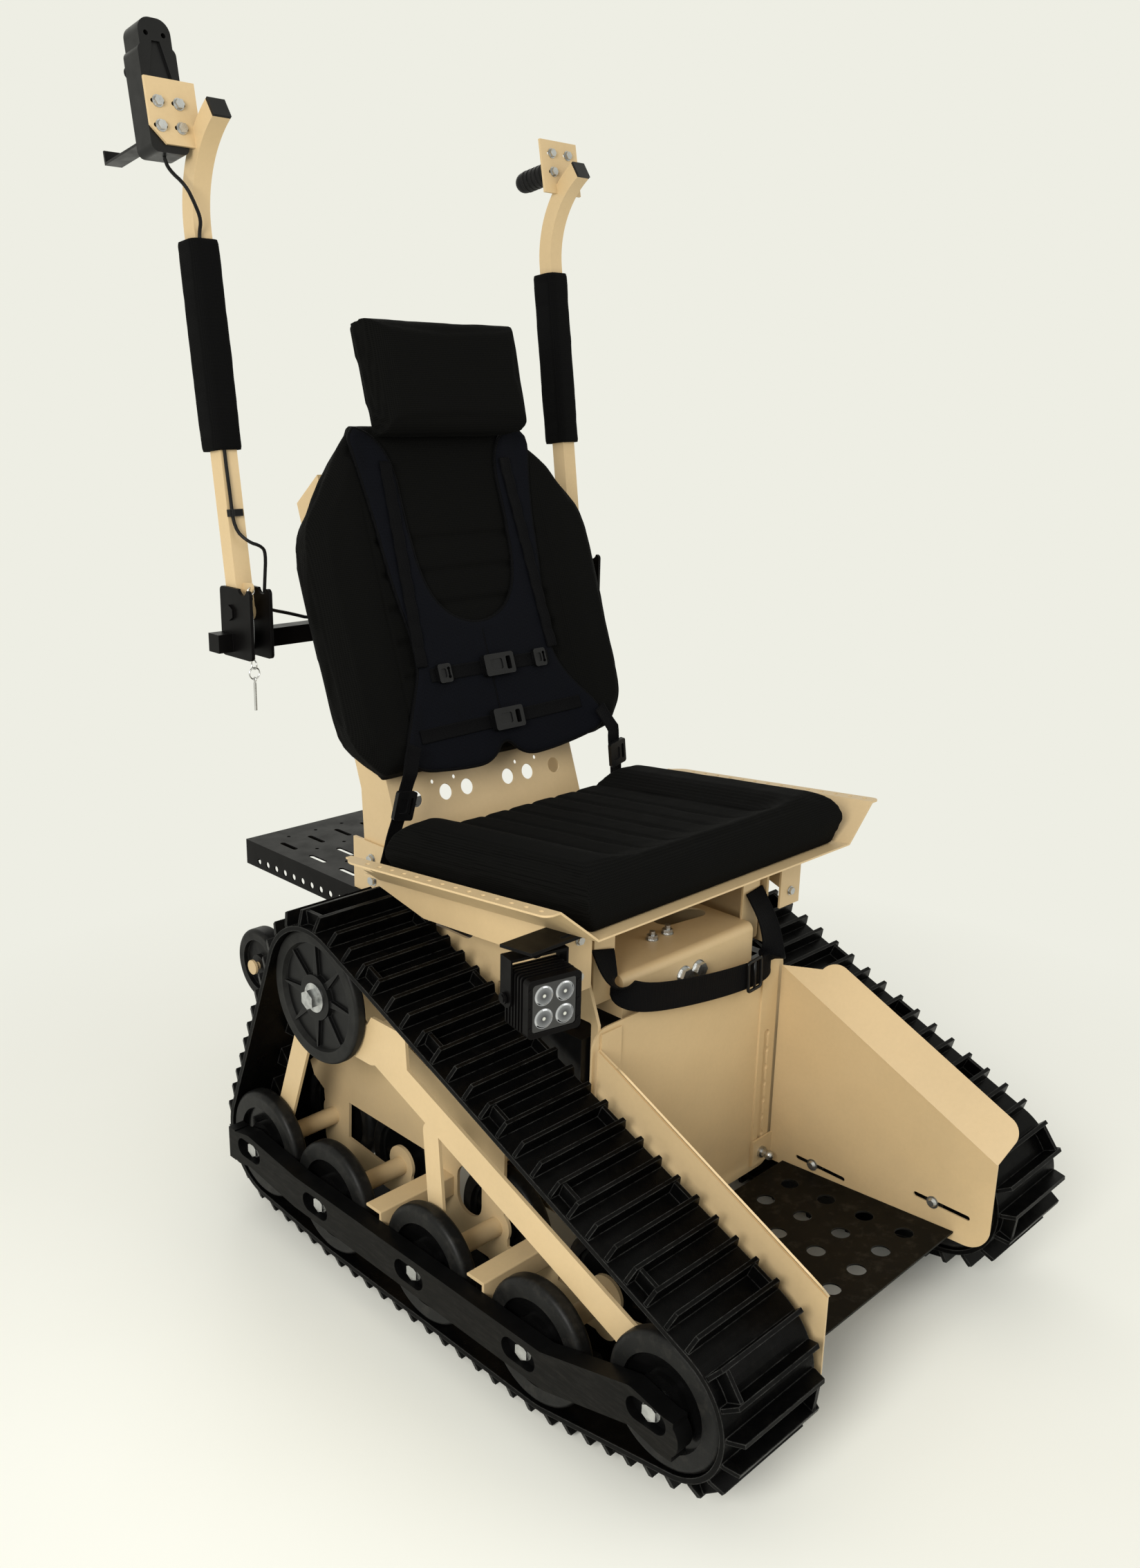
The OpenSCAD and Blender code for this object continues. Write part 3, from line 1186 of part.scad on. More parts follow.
module footplate() color(black_paint) {
  foot_space() difference() {
    translate([-239.5, -foot_l, -sheet_t]) cube([479, foot_l, sheet_t]);
    for (x = [36, 108, 180], k = [0 : 3]) both() translate([x, -60 - k * 79, -10])
        cylinder(r = foot_hole_r, h = 20);
  }
  // bolts that slide in the guards' slots, each with its washer and round head inside the guard, and the
  // bracket that passes under the guard and holds the bolt outside
  face = sheet_t / 2 + 0.4;
  both() for (p = [[-2, slot_z, 116], [244, slot_z - 40, 102]]) {
    rod_x(4.2, 2 * face + 4, [guard_x, p.x, p.y]);
    rod_x(11, 2, [guard_x - face - 1, p.x, p.y]);
    translate([guard_x - face - 2 + eps, p.x, p.y]) rotate([0, -90, 0]) cylinder(r1 = 8.5, r2 = 5.5, h = 5);
    translate([guard_x + face, p.x - 17, p.z]) cube([3, 34, p.y + 14 - p.z]);
    translate([228, p.x - 17, p.z]) cube([guard_x + face + 3 - 228, 34, 3]);
    translate([228, p.x - 17, p.z])
      cube([3, 34, foot_z + (foot_l - foot_front - p.x) * tan(foot_slope) - 1.5 - p.z]);
  }
}

module foot_fasteners() color(zinc) both() {
  // locking pins in the lowest pair of holes
  translate([210, guard_rear - 4, post_z0]) rotate([90, 0, 0]) {
    translate([0, 0, -6.5]) cylinder(r = 6.1, h = 7);
    translate([0, 0, 0.02]) cylinder(r = 11, h = 5);
    translate([0, 0, 5]) cylinder(r = 7, h = 14);
    translate([0, 0, 19]) sphere(r = 9);
  }
}

// lamp

module light_mount() color(black_paint) {
  pan_space() translate([-lamp_x - 40, lamp_y - pan_y - 34, -sheet_t - 5.2]) difference() {
    cube([lamp_x + 40 - 306, 68, 5]);
    translate([90, 14, 2]) linear_extrude(20, center = true) slot2(34, 8);
  }
  top = pan_under(lamp_y) - 4;
  translate([-lamp_x, lamp_y, 0]) {
    translate([0, 0, bracket_z + 4.3]) cylinder(r = 12, h = top - bracket_z - 4.3);
    translate([0, 0, bracket_z - 5]) cylinder(r = 5, h = 12);
    translate([0, 0, bracket_z - 5.3]) cylinder(r = 9, h = 5, $fn = 6);
  }
}
bracket_z = lamp_z + 60;

module lamp_space() translate([-lamp_x, lamp_y, lamp_z]) rotate([0, 0, -lamp_yaw]) children();

module light_bracket() color(black_paint) lamp_space() {
  x = lamp_w / 2 + 1;
  difference() {
    union() {
      translate([-x - 3, -15, 60]) cube([2 * x + 6, 30, 4]);
      for (s = [-1, 1]) yz(3, s * (x + 1.5)) { translate([-15, 0]) square([30, 62]); circle(15); }
    }
    rod_x(5 + run_gap, 2 * x + 20, [0, 0, 0]);
    cylinder(r = 5 + run_gap, h = 100);
  }
}

module light_pod() color(black_paint) lamp_space() {
  x = lamp_w / 2;
  difference() {
    union() {
      translate([0, -57 + 7, 0]) rotate([90, 0, 0]) linear_extrude(14, center = true) rrect(lamp_w,
          lamp_w, 8);
      translate([0, -21 + 0.5, 0]) rotate([90, 0, 0]) linear_extrude(46, center = true)
          rrect(lamp_w - 8, lamp_w - 8, 6);
      for (i = [0 : 5]) translate([0, -36 + i * 8.4, 0]) rotate([90, 0, 0]) linear_extrude(3,
          center = true) rrect(lamp_w - 0.4, lamp_w - 0.4, 6);
    }
    translate([0, -57, 0]) rotate([90, 0, 0]) linear_extrude(10, center = true) rrect(lamp_w - 16,
        lamp_w - 16, 6);
  }
  for (s = [-1, 1]) {
    rod_x(5, 12, [s * (x + 0.5), 0, 0]);
    rod_x(9, 3, [s * (x + 7.8), 0, 0]);
    hex_x(12, 3, [s * (x + 10), 0, 0]);
    for (z = [-30, 0, 30]) translate([s * (x - 4.2), -57, z]) rotate([90, 0, 0]) cylinder(r = 3,
        h = 1.4, $fn = 20);
  }
}

module light_lens() color([0.85, 0.87, 0.9]) lamp_space() {
  translate([0, -54, 0]) rotate([90, 0, 0]) linear_extrude(3, center = true) rrect(lamp_w - 16.6,
      lamp_w - 16.6, 6);
  for (i = [-1, 1], k = [-1, 1]) translate([i * 18, -55.4, k * 18]) rotate([90, 0, 0])
      cylinder(r1 = 15, r2 = 13, h = 1.4);
}

// screws that hold seat, box and back

module seat_fasteners() color(zinc) {
  both() {
    translate([20, box_y + 72, box_top_z]) { cylinder(r = 11, h = 2); cylinder(r = 9.5, h = 9,
        $fn = 6); cylinder(r = 5, h = 16); }
    screw_y(8, [19, box_y, 563]);
    screw_y(5, [195, box_y + 24, 690]);
    for (p = [[930, 668], [927, 628]]) screw_x(5, [chassis_x, p.x, p.y], 1);
    for (z = [640, 700]) screw_y(4, [275, box_y, z]);
  }
}

// the whole chair, centred over its own middle
translate([0, -y_mid, 0]) chassis_frame();
translate([0, -y_mid, 0]) front_box();
translate([0, -y_mid, 0]) leg_panel();
translate([0, -y_mid, 0]) seat_pan();
translate([0, -y_mid, 0]) back_frame();
translate([0, -y_mid, 0]) rear_rack();
translate([0, -y_mid, 0]) seat_cushion();
translate([0, -y_mid, 0]) back_cushion();
translate([0, -y_mid, 0]) headrest();
translate([0, -y_mid, 0]) harness_vest();
translate([0, -y_mid, 0]) harness_straps();
translate([0, -y_mid, 0]) harness_buckles();
translate([0, -y_mid, 0]) leg_strap();
translate([0, -y_mid, 0]) batteries();
translate([0, -y_mid, 0]) arm_cross_bar();
translate([0, -y_mid, 0]) right_track_frame();
translate([0, -y_mid, 0]) left_track_frame();
translate([0, -y_mid, 0]) guide_rails();
translate([0, -y_mid, 0]) right_belt();
translate([0, -y_mid, 0]) left_belt();
translate([0, -y_mid, 0]) axles();
translate([0, -y_mid, 0]) gear_motors();
translate([0, -y_mid, 0]) seat_fasteners();
translate([0, -y_mid, 0]) light_mount();
translate([0, -y_mid, 0]) cable_tail();
translate([0, -y_mid, 0]) right_road_wheel_1();
translate([0, -y_mid, 0]) right_road_wheel_2();
translate([0, -y_mid, 0]) right_road_wheel_3();
translate([0, -y_mid, 0]) right_road_wheel_4();
translate([0, -y_mid, 0]) right_road_wheel_5();
translate([0, -y_mid, 0]) left_road_wheel_1();
translate([0, -y_mid, 0]) left_road_wheel_2();
translate([0, -y_mid, 0]) left_road_wheel_3();
translate([0, -y_mid, 0]) left_road_wheel_4();
translate([0, -y_mid, 0]) left_road_wheel_5();
translate([0, -y_mid, 0]) right_drive_wheel();
translate([0, -y_mid, 0]) left_drive_wheel();
translate([0, -y_mid, 0]) right_tip_wheel();
translate([0, -y_mid, 0]) left_tip_wheel();
translate([0, -y_mid, 0]) right_arm_tube();
translate([0, -y_mid, 0]) right_arm_pad();
translate([0, -y_mid, 0]) right_arm_cap();
translate([0, -y_mid, 0]) joystick_pod();
translate([0, -y_mid, 0]) joystick_bolts();
translate([0, -y_mid, 0]) joystick_cable();
translate([0, -y_mid, 0]) joystick_gimbal();
translate([0, -y_mid, 0]) joystick_lever();
translate([0, -y_mid, 0]) lanyard_wire();
translate([0, -y_mid, 0]) lanyard_pin();
translate([0, -y_mid, 0]) left_arm_tube();
translate([0, -y_mid, 0]) left_arm_pad();
translate([0, -y_mid, 0]) left_arm_cap();
translate([0, -y_mid, 0]) left_hand_grip();
translate([0, -y_mid, 0]) left_grip_bolts();
translate([0, -y_mid, 0]) foot_guards();
translate([0, -y_mid, 0]) footplate();
translate([0, -y_mid, 0]) foot_fasteners();
translate([0, -y_mid, 0]) light_bracket();
translate([0, -y_mid, 0]) light_pod();
translate([0, -y_mid, 0]) light_lens();
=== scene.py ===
import json
import math

import bmesh
import bpy
import numpy as np
from mathutils import Matrix, Vector, noise
from mathutils.geometry import delaunay_2d_cdt

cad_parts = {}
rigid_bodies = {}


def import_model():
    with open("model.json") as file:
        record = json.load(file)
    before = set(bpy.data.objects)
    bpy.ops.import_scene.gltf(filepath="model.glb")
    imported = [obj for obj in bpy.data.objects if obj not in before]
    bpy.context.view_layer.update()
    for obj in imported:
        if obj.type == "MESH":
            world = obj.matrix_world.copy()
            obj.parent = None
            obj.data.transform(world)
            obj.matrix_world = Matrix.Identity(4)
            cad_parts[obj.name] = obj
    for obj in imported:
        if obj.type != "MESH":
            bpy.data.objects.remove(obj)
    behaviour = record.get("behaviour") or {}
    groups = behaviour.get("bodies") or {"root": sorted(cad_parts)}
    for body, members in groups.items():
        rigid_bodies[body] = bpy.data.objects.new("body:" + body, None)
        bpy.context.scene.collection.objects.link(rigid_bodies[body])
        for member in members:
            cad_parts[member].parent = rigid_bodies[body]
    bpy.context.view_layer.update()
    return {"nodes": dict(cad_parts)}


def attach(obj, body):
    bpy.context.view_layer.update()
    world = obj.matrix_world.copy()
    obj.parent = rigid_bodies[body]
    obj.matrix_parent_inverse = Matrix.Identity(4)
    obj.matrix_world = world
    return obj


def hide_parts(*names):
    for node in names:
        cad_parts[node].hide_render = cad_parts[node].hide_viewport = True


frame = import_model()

NODE = frame["nodes"]
scene = bpy.context.scene
for spare in [o for o in scene.objects if o.name in ("Cube", "Light", "Camera")]:
    bpy.data.objects.remove(spare)
scene.view_settings.view_transform = "Standard"
rad = math.radians

# camera, solved from the photo: on the user's right front, about 1.5 m up

PHOTO_H, FOCAL, CENTRE_ROW = 2268, 1975.45, 1123.256  # pixels
SENSOR = 36
CAMERA_AT = (-1.6721, -1.5851, 1.5274)
YAW, PITCH, ROLL = rad(-45.6095), rad(-16.3325), rad(1.40097)
fwd = Vector((-math.sin(YAW) * math.cos(PITCH), math.cos(YAW) * math.cos(PITCH), math.sin(PITCH)))
right = fwd.cross(Vector((0, 0, 1))).normalized()
up = right.cross(fwd)
r2 = right * math.cos(ROLL) + up * math.sin(ROLL)
u2 = up * math.cos(ROLL) - right * math.sin(ROLL)
cam_data = bpy.data.cameras.new("camera")
cam_data.lens = SENSOR * FOCAL / PHOTO_H
cam_data.sensor_width = SENSOR
cam_data.shift_y = -(PHOTO_H / 2 - CENTRE_ROW) / PHOTO_H
cam = bpy.data.objects.new("camera", cam_data)
scene.collection.objects.link(cam)
pose = Matrix((r2, u2, -fwd)).transposed().to_4x4()
pose.translation = Vector(CAMERA_AT)
cam.matrix_world = pose
scene.camera = cam


# small helpers

def mm(*p):
    """Millimetres to a vector in metres."""
    return Vector(p) / 1000


def smooth(a, b, t):
    """0 up to a, 1 from b on, and an even ease between."""
    k = min(1.0, max(0.0, (t - a) / (b - a)))
    return k * k * (3 - 2 * k)


def edge(t, d):
    """Quarter round: 0 at an edge, 1 from d inside it."""
    return 1.0 if t >= d else 0.0 if t <= 0 else math.sqrt(1 - (1 - t / d) ** 2)


def groove(t, w):
    """1 at t = 0, down to 0 at w on either side."""
    return 0.0 if abs(t) >= w else math.cos(math.pi / 2 * t / w) ** 2


def pick(t, table):
    """Value at t in a table of (t, value) rows, straight between rows."""
    for (a, u), (b, v) in zip(table, table[1:]):
        if t <= b:
            return u + (v - u) * max(0, t - a) / (b - a)
    return table[-1][1]


def catmull(pts, n):
    """n + 1 points on a smooth curve through pts."""
    pts = [np.array(p, float) for p in pts]
    out = []
    for j in range(n + 1):
        t = (len(pts) - 1) * j / n
        i = min(len(pts) - 2, int(t))
        k = t - i
        a, b, c, d = pts[max(0, i - 1)], pts[i], pts[i + 1], pts[min(len(pts) - 1, i + 2)]
        out.append(0.5 * (2 * b + (c - a) * k + (2 * a - 5 * b + 4 * c - d) * k * k
                          + (3 * b - a - 3 * c + d) * k ** 3))
    return out


def link(name, mesh, place=None):
    obj = bpy.data.objects.new(name, mesh)
    scene.collection.objects.link(obj)
    if place is not None:
        obj.matrix_world = place
    return obj


def shade_smooth(mesh):
    mesh.polygons.foreach_set("use_smooth", [True] * len(mesh.polygons))


def from_mesh(name, verts, faces, place=None, flat=False):
    me = bpy.data.meshes.new(name)
    me.from_pydata([tuple(v) for v in verts], [], faces)
    me.update()
    bm = bmesh.new()
    bm.from_mesh(me)
    bmesh.ops.recalc_face_normals(bm, faces=bm.faces)
    bm.to_mesh(me)
    bm.free()
    if not flat:
        shade_smooth(me)
    return link(name, me, place)


def apply_mod(obj, mod):
    bpy.context.view_layer.objects.active = obj
    bpy.ops.object.modifier_apply(modifier=mod.name)


def read(mesh, key):
    """Each vertex's co or normal, as rows of x, y, z."""
    a = np.empty(len(mesh.vertices) * 3, np.float32)
    mesh.vertices.foreach_get(key, a)
    return a.reshape(-1, 3).astype(float)


def coords(obj):
    return read(obj.data, "co")


def normals(obj):
    return read(obj.data, "normal")


def set_coords(obj, a):
    obj.data.vertices.foreach_set("co", np.asarray(a, np.float32).ravel())
    obj.data.update()


def remesh(obj, voxel):
    rm = obj.modifiers.new("remesh", "REMESH")
    rm.mode, rm.voxel_size, rm.use_smooth_shade = "VOXEL", voxel, True
    apply_mod(obj, rm)


def subdivide(obj):
    s = obj.modifiers.new("subdivision", "SUBSURF")
    s.levels = s.render_levels = 1
    apply_mod(obj, s)
    shade_smooth(obj.data)


def finish_piece(obj, body, material):
    obj.data.materials.clear()
    obj.data.materials.append(material)
    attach(obj, body)


# the part's own frames: origins in mm, lean in degrees about X

def space(origin, lean):
    return Matrix.Translation(mm(*origin)) @ Matrix.Rotation(rad(-lean), 4, "X")


Y_MID = 606.7  # middle of the part's length, counted from the front axle
PAN_Z, PAN_LEAN = 741, 5.5
BACK_Y, BACK_Z, BACK_LEAN = 877 - Y_MID, 784, 19.5
ARM_X, ARM_Y, ARM_Z, ARM_LEAN = 404.5, 1062 - Y_MID, 1126, 7.7
PAN = space((0, 275 - Y_MID, PAN_Z), PAN_LEAN)
BACK = space((0, BACK_Y, BACK_Z), BACK_LEAN)
HEAD = space((0, 1011 - Y_MID, 1410), 15)
ARM = {side: space((side * ARM_X, ARM_Y, ARM_Z), ARM_LEAN) for side in (-1, 1)}
BACK_S0 = 42  # foot of the back cushion, along the back

# materials


class Paint:
    """One node material: a principled shader and a few short ways to wire textures into it."""

    def __init__(self, name, color, rough, metal=0.0, **sockets):
        self.mat = bpy.data.materials.new(name)
        self.mat.use_nodes = True
        self.t = self.mat.node_tree
        self.t.nodes.clear()
        out = self.add("ShaderNodeOutputMaterial")
        self.b = self.add("ShaderNodeBsdfPrincipled")
        self.join(self.b.outputs[0], out.inputs[0])
        self.b.inputs["Base Color"].default_value = (*color, 1)
        self.b.inputs["Roughness"].default_value = rough
        self.b.inputs["Metallic"].default_value = metal
        for k, v in sockets.items():
            self.b.inputs[k.replace("_", " ")].default_value = v
        self.at = self.add("ShaderNodeTexCoord").outputs["Object"]
        self.normal = None

    def add(self, kind, **props):
        n = self.t.nodes.new(kind)
        for k, v in props.items():
            setattr(n, k, v)
        return n

    def join(self, a, b):
        self.t.links.new(a, b)

    def noise(self, scale, detail=3.0, rough=0.55, stretch=None):
        n = self.add("ShaderNodeTexNoise")
        n.inputs["Scale"].default_value = scale
        n.inputs["Detail"].default_value = detail
        n.inputs["Roughness"].default_value = rough
        self.join(self.mapped(stretch), n.inputs["Vector"])
        return n.outputs["Fac"]

    def mapped(self, stretch, turn=None):
        if stretch is None and turn is None:
            return self.at
        mp = self.add("ShaderNodeMapping")
        if stretch:
            mp.inputs["Scale"].default_value = stretch
        if turn:
            mp.inputs["Rotation"].default_value = turn
        self.join(self.at, mp.inputs["Vector"])
        return mp.outputs[0]

    def wave(self, pitch, direction, turn=None, distort=0.0):
        n = self.add("ShaderNodeTexWave", bands_direction=direction)
        n.inputs["Scale"].default_value = 2 * math.pi / (20 * pitch)
        n.inputs["Distortion"].default_value = distort
        n.inputs["Detail"].default_value = 1.0
        self.join(self.mapped(None, turn), n.inputs["Vector"])
        return n.outputs["Fac"]

    def cells(self, scale):
        n = self.add("ShaderNodeTexVoronoi", feature="F1")
        n.inputs["Scale"].default_value = scale
        self.join(self.at, n.inputs["Vector"])
        return n.outputs["Distance"]

    def math(self, op, a, b=None, c=None):
        n = self.add("ShaderNodeMath", operation=op)
        for i, v in enumerate((a, b, c)):
            if v is None:
                continue
            if isinstance(v, (int, float)):
                n.inputs[i].default_value = v
            else:
                self.join(v, n.inputs[i])
        return n.outputs[0]

    def spread(self, fac, lo, hi, a=0.0, b=1.0):
        n = self.add("ShaderNodeMapRange")
        for i, v in enumerate((lo, hi, a, b), 1):
            n.inputs[i].default_value = v
        self.join(fac, n.inputs[0])
        return n.outputs[0]

    def ramp(self, fac, stops):
        n = self.add("ShaderNodeValToRGB")
        e = n.color_ramp.elements
        while len(e) < len(stops):
            e.new(0.5)
        for el, (p, c) in zip(e, stops):
            el.position = p
            el.color = (*c, 1)
        self.join(fac, n.inputs[0])
        return n.outputs[0]

    def tones(self, a, b, *noise):
        """Noise that runs between two colours."""
        return self.ramp(self.noise(*noise), [(0.3, a), (0.7, b)])

    def blend(self, fac, a, b):
        n = self.add("ShaderNodeMix", data_type="RGBA")
        self.join(fac, n.inputs[0])
        for i, v in ((6, a), (7, b)):
            if isinstance(v, tuple):
                n.inputs[i].default_value = (*v, 1)
            else:
                self.join(v, n.inputs[i])
        return n.outputs[2]

    def color(self, out):
        self.join(out, self.b.inputs["Base Color"])

    def rough(self, out):
        self.join(out, self.b.inputs["Roughness"])

    def rough_noise(self, lo, hi, *noise):
        self.rough(self.spread(self.noise(*noise), 0.3, 0.7, lo, hi))

    def rough_parts(self, fac, a, b, scale):
        """Roughness a where fac is 0 and b where it is 1, with a little noise over both."""
        self.rough(self.math("ADD", self.spread(fac, 0.0, 1.0, a, b),
                             self.math("MULTIPLY", self.noise(scale, 4.0), 0.14)))

    def bump(self, height, strength, distance):
        n = self.add("ShaderNodeBump")
        n.inputs["Strength"].default_value = strength
        n.inputs["Distance"].default_value = distance
        self.join(height, n.inputs["Height"])
        if self.normal is not None:
            self.join(self.normal, n.inputs["Normal"])
        self.normal = n.outputs[0]
        self.join(self.normal, self.b.inputs["Normal"])

    def edges(self, radius):
        """0 on faces, 1 on edges, from how far a rounded normal leaves the true one."""
        bev = self.add("ShaderNodeBevel", samples=4)
        bev.inputs["Radius"].default_value = radius
        geo = self.add("ShaderNodeNewGeometry")
        dot = self.add("ShaderNodeVectorMath", operation="DOT_PRODUCT")
        self.join(bev.outputs[0], dot.inputs[0])
        self.join(geo.outputs["True Normal"], dot.inputs[1])
        return self.spread(dot.outputs["Value"], 0.97, 0.72)

    def xyz(self):
        sep = self.add("ShaderNodeSeparateXYZ")
        self.join(self.at, sep.inputs[0])
        return sep.outputs

    def nearest(self, at, points):
        """Distance from the nearest of some points, given in metres."""
        best = None
        for p in points:
            d = self.add("ShaderNodeVectorMath", operation="DISTANCE")
            self.join(at, d.inputs[0])
            d.inputs[1].default_value = p
            d = d.outputs["Value"]
            best = d if best is None else self.math("MINIMUM", best, d)
        return best

    def off_axis(self, centres):
        """Distance from the nearest of some lines along X, given as (y, z) in mm."""
        sep, flat = self.xyz(), self.add("ShaderNodeCombineXYZ")
        for axis in "YZ":
            self.join(sep[axis], flat.inputs[axis])
        return self.nearest(flat.outputs[0], [mm(0, y, z) for y, z in centres])

    def off_middle(self, x):
        """1 where a point is more than x metres from the middle plane."""
        return self.math("GREATER_THAN", self.math("ABSOLUTE", self.xyz()["X"]), x)

    def facing_x(self):
        """1 on faces that look along X."""
        geo, sep = self.add("ShaderNodeNewGeometry"), self.add("ShaderNodeSeparateXYZ")
        self.join(geo.outputs["True Normal"], sep.inputs[0])
        return self.math("GREATER_THAN", self.math("ABSOLUTE", sep.outputs["X"]), 0.9)


def lin(r, g, b):
    """An 8-bit screen colour as linear light."""
    return tuple((c / 255 / 12.92) if c <= 10 else ((c / 255 + 0.055) / 1.055) ** 2.4 for c in (r, g, b))


def times(color, k):
    return tuple(min(1, c * k) for c in color)


def powder(name, color, rough, dust, grain=520.0, worn=0.6, gloss=0.40):
    """Powder coat: mottled, paler on edges, dusty low down, with a fine orange peel."""
    p = Paint(name, color, rough, 0.0, Specular_IOR_Level=gloss)
    broad, fine = p.noise(5.0, 4.0), p.noise(140.0, 2.0)
    base = p.ramp(p.math("ADD", p.math("MULTIPLY", broad, 0.75), p.math("MULTIPLY", fine, 0.25)),
                  [(0.32, times(color, 0.90)), (0.68, color)])
    scuff = p.spread(p.noise(34.0, 5.0, 0.7), 0.60, 0.70)
    rubbed = p.math("MULTIPLY", p.edges(0.0022), p.math("MULTIPLY_ADD", scuff, 0.5, worn * 0.5))
    base = p.blend(rubbed, base, tuple(min(1, c * 1.22 + 0.012) for c in color))
    low = p.math("MULTIPLY", p.spread(p.xyz()["Z"], 0.42, 0.05),
                 p.spread(p.noise(9.0, 6.0, 0.65), 0.40, 0.72))
    p.color(p.blend(p.math("MULTIPLY", low, dust), base, lin(150, 138, 118)))
    p.rough_noise(rough - 0.06, rough + 0.10, 22.0, 4.0)
    p.bump(p.noise(grain, 2.0, 0.5), 0.16, 0.0006)
    return p.mat


def rubber(name, color, rough, dust, marks=0.0, scuff_and_highlight=0.35, gloss=0.14):
    """Rubber: patchy, soiled, grey on edges, partly from scuffs and partly a painted highlight; marks is the
    pitch of fine mould lines.
    """
    p = Paint(name, color, rough, 0.0, Specular_IOR_Level=gloss)
    base = p.tones(times(color, 0.75), times(color, 1.35), 14.0, 5.0, 0.6)
    soil = p.math("MULTIPLY", p.spread(p.noise(46.0, 6.0, 0.7), 0.50, 0.74), dust)
    base = p.blend(soil, base, lin(96, 90, 80))
    # grey on the edges: partly scuff wear, partly a painted highlight along the ridge tops
    scuff_highlight_patches = p.math("MULTIPLY", p.spread(p.noise(60.0, 5.0, 0.7), 0.3, 0.6), scuff_and_highlight)
    p.color(p.blend(p.math("MULTIPLY", p.edges(0.003), scuff_highlight_patches), base, lin(92, 92, 89)))
    p.rough_noise(rough - 0.1, rough + 0.12, 30.0, 4.0)
    p.bump(p.noise(700.0, 2.0), 0.22, 0.0006)
    if marks:
        p.bump(p.wave(marks, "X"), 0.10, 0.0004)
    return p.mat


def moulded(name, color, rough, grain=900.0):
    """Moulded plastic with a leather grain and edges painted paler as a highlight."""
    p = Paint(name, color, rough, 0.0, Specular_IOR_Level=0.22)
    base = p.tones(times(color, 0.8), times(color, 1.25), 20.0, 4.0)
    # the paler edge colour is a painted highlight
    pale = tuple(min(1, c * 2.2 + 0.02) for c in color)
    p.color(p.blend(p.math("MULTIPLY", p.edges(0.0015), 0.4), base, pale))
    p.rough_noise(rough - 0.08, rough + 0.12, 36.0, 5.0)
    p.bump(p.cells(grain), 0.14, 0.0004)
    return p.mat


def metal(name, color, rough, brushed=(1, 1, 1)):
    """Plated or cast metal, brushed along the axis with the smaller number."""
    p = Paint(name, color, rough, 1.0)
    p.color(p.tones(times(color, 0.82), times(color, 1.1), 60.0, 4.0))
    p.rough_noise(rough - 0.08, rough + 0.14, 180.0, 5.0, 0.6, brushed)
    p.bump(p.noise(420.0, 3.0, 0.6, brushed), 0.12, 0.0003)
    return p.mat


def woven(name, color, pitch, rough, sheen, ribs=0.0, strength=0.5):
    """Plain weave at a pitch in metres; ribs is the pitch of lengthwise cords."""
    p = Paint(name, color, rough, 0.0, Specular_IOR_Level=0.03, Sheen_Weight=sheen, Sheen_Roughness=0.5)
    warp, weft = (p.wave(pitch, axis, None, 0.4) for axis in "XZ")
    tone, fibre = p.noise(26.0, 5.0, 0.65), p.noise(900.0, 2.0)
    mix = p.math("MULTIPLY", p.math("MAXIMUM", warp, weft), 0.45)
    mix = p.math("ADD", mix, p.math("ADD", p.math("MULTIPLY", tone, 0.3), p.math("MULTIPLY", fibre, 0.25)))
    p.color(p.ramp(mix, [(0.25, times(color, 0.55)), (0.85, times(color, 1.6))]))
    p.rough(p.spread(tone, 0.3, 0.7, rough - 0.08, min(1.0, rough + 0.08)))
    knots = p.math("MULTIPLY", warp, weft)
    p.bump(p.math("ADD", knots, p.math("MULTIPLY", fibre, 0.5)), strength, 0.0007)
    if ribs:
        p.bump(p.wave(ribs, "X"), 0.5, 0.0006)
    return p.mat


TAN = lin(207, 181, 137)
MAT = {
    "tan_paint": powder("tan_powder_coat", TAN, 0.42, 0.25),
    "black_paint": powder("black_powder_coat", lin(10, 9, 9), 0.36, 0.07, 600.0, worn=0.9, gloss=0.07),
    "track_rubber": rubber("track_rubber", lin(5, 5, 5), 0.34, 0.02, 0.0032, scuff_and_highlight=0.6, gloss=0.05),
    "wheel_tread": rubber("tip_wheel_rubber", lin(12, 12, 12), 0.42, 0.08),
    "black_plastic": moulded("moulded_black", lin(12, 12, 12), 0.34),
    "motor_alloy": metal("cast_alloy", lin(120, 120, 122), 0.45),
    "soft_rubber": rubber("soft_rubber", lin(11, 11, 12), 0.5, 0.04),
    "bright_steel": metal("bright_steel", lin(205, 205, 203), 0.22, (1, 1, 6)),
    "zinc_steel": metal("zinc_plate", lin(190, 191, 190), 0.30, (6, 1, 1)),
    "seat_fabric": woven("woven_seat", lin(11, 11, 10), 0.0034, 0.9, 0.004, strength=0.6),
    "pad_foam": woven("sleeve_knit", lin(10, 10, 10), 0.0022, 0.86, 0.012),
    "vest_fabric": woven("vest_nylon", lin(11, 12, 16), 0.0026, 0.80, 0.008),
    "webbing": woven("webbing", lin(8, 8, 9), 0.0018, 0.6, 0.010, ribs=0.0030),
}

# materials of single pieces, with the places in mm and the radii and faces in metres that they follow

LAMP, LAMP_TURN, CUP_AT, CUP_R = mm(-378, 352 - Y_MID, 652), rad(-12), 18, 0.0150
FOOT_BOLTS, BOLT_R, GUARD_FACE = [(-2 - Y_MID, 181), (244 - Y_MID, 141)], 0.0116, 0.2448
AXLES = [(y - Y_MID, z) for y, z in (
    (0, 186.9), (250.7, 136.6), (507.7, 136.6), (764.7, 136.6), (970.7, 152.0))]
DRIVE, HUB_R, DRIVE_FACE = (807.5 - Y_MID, 504.3), 0.0285, 0.4557
RAIL_FACE = 0.4955


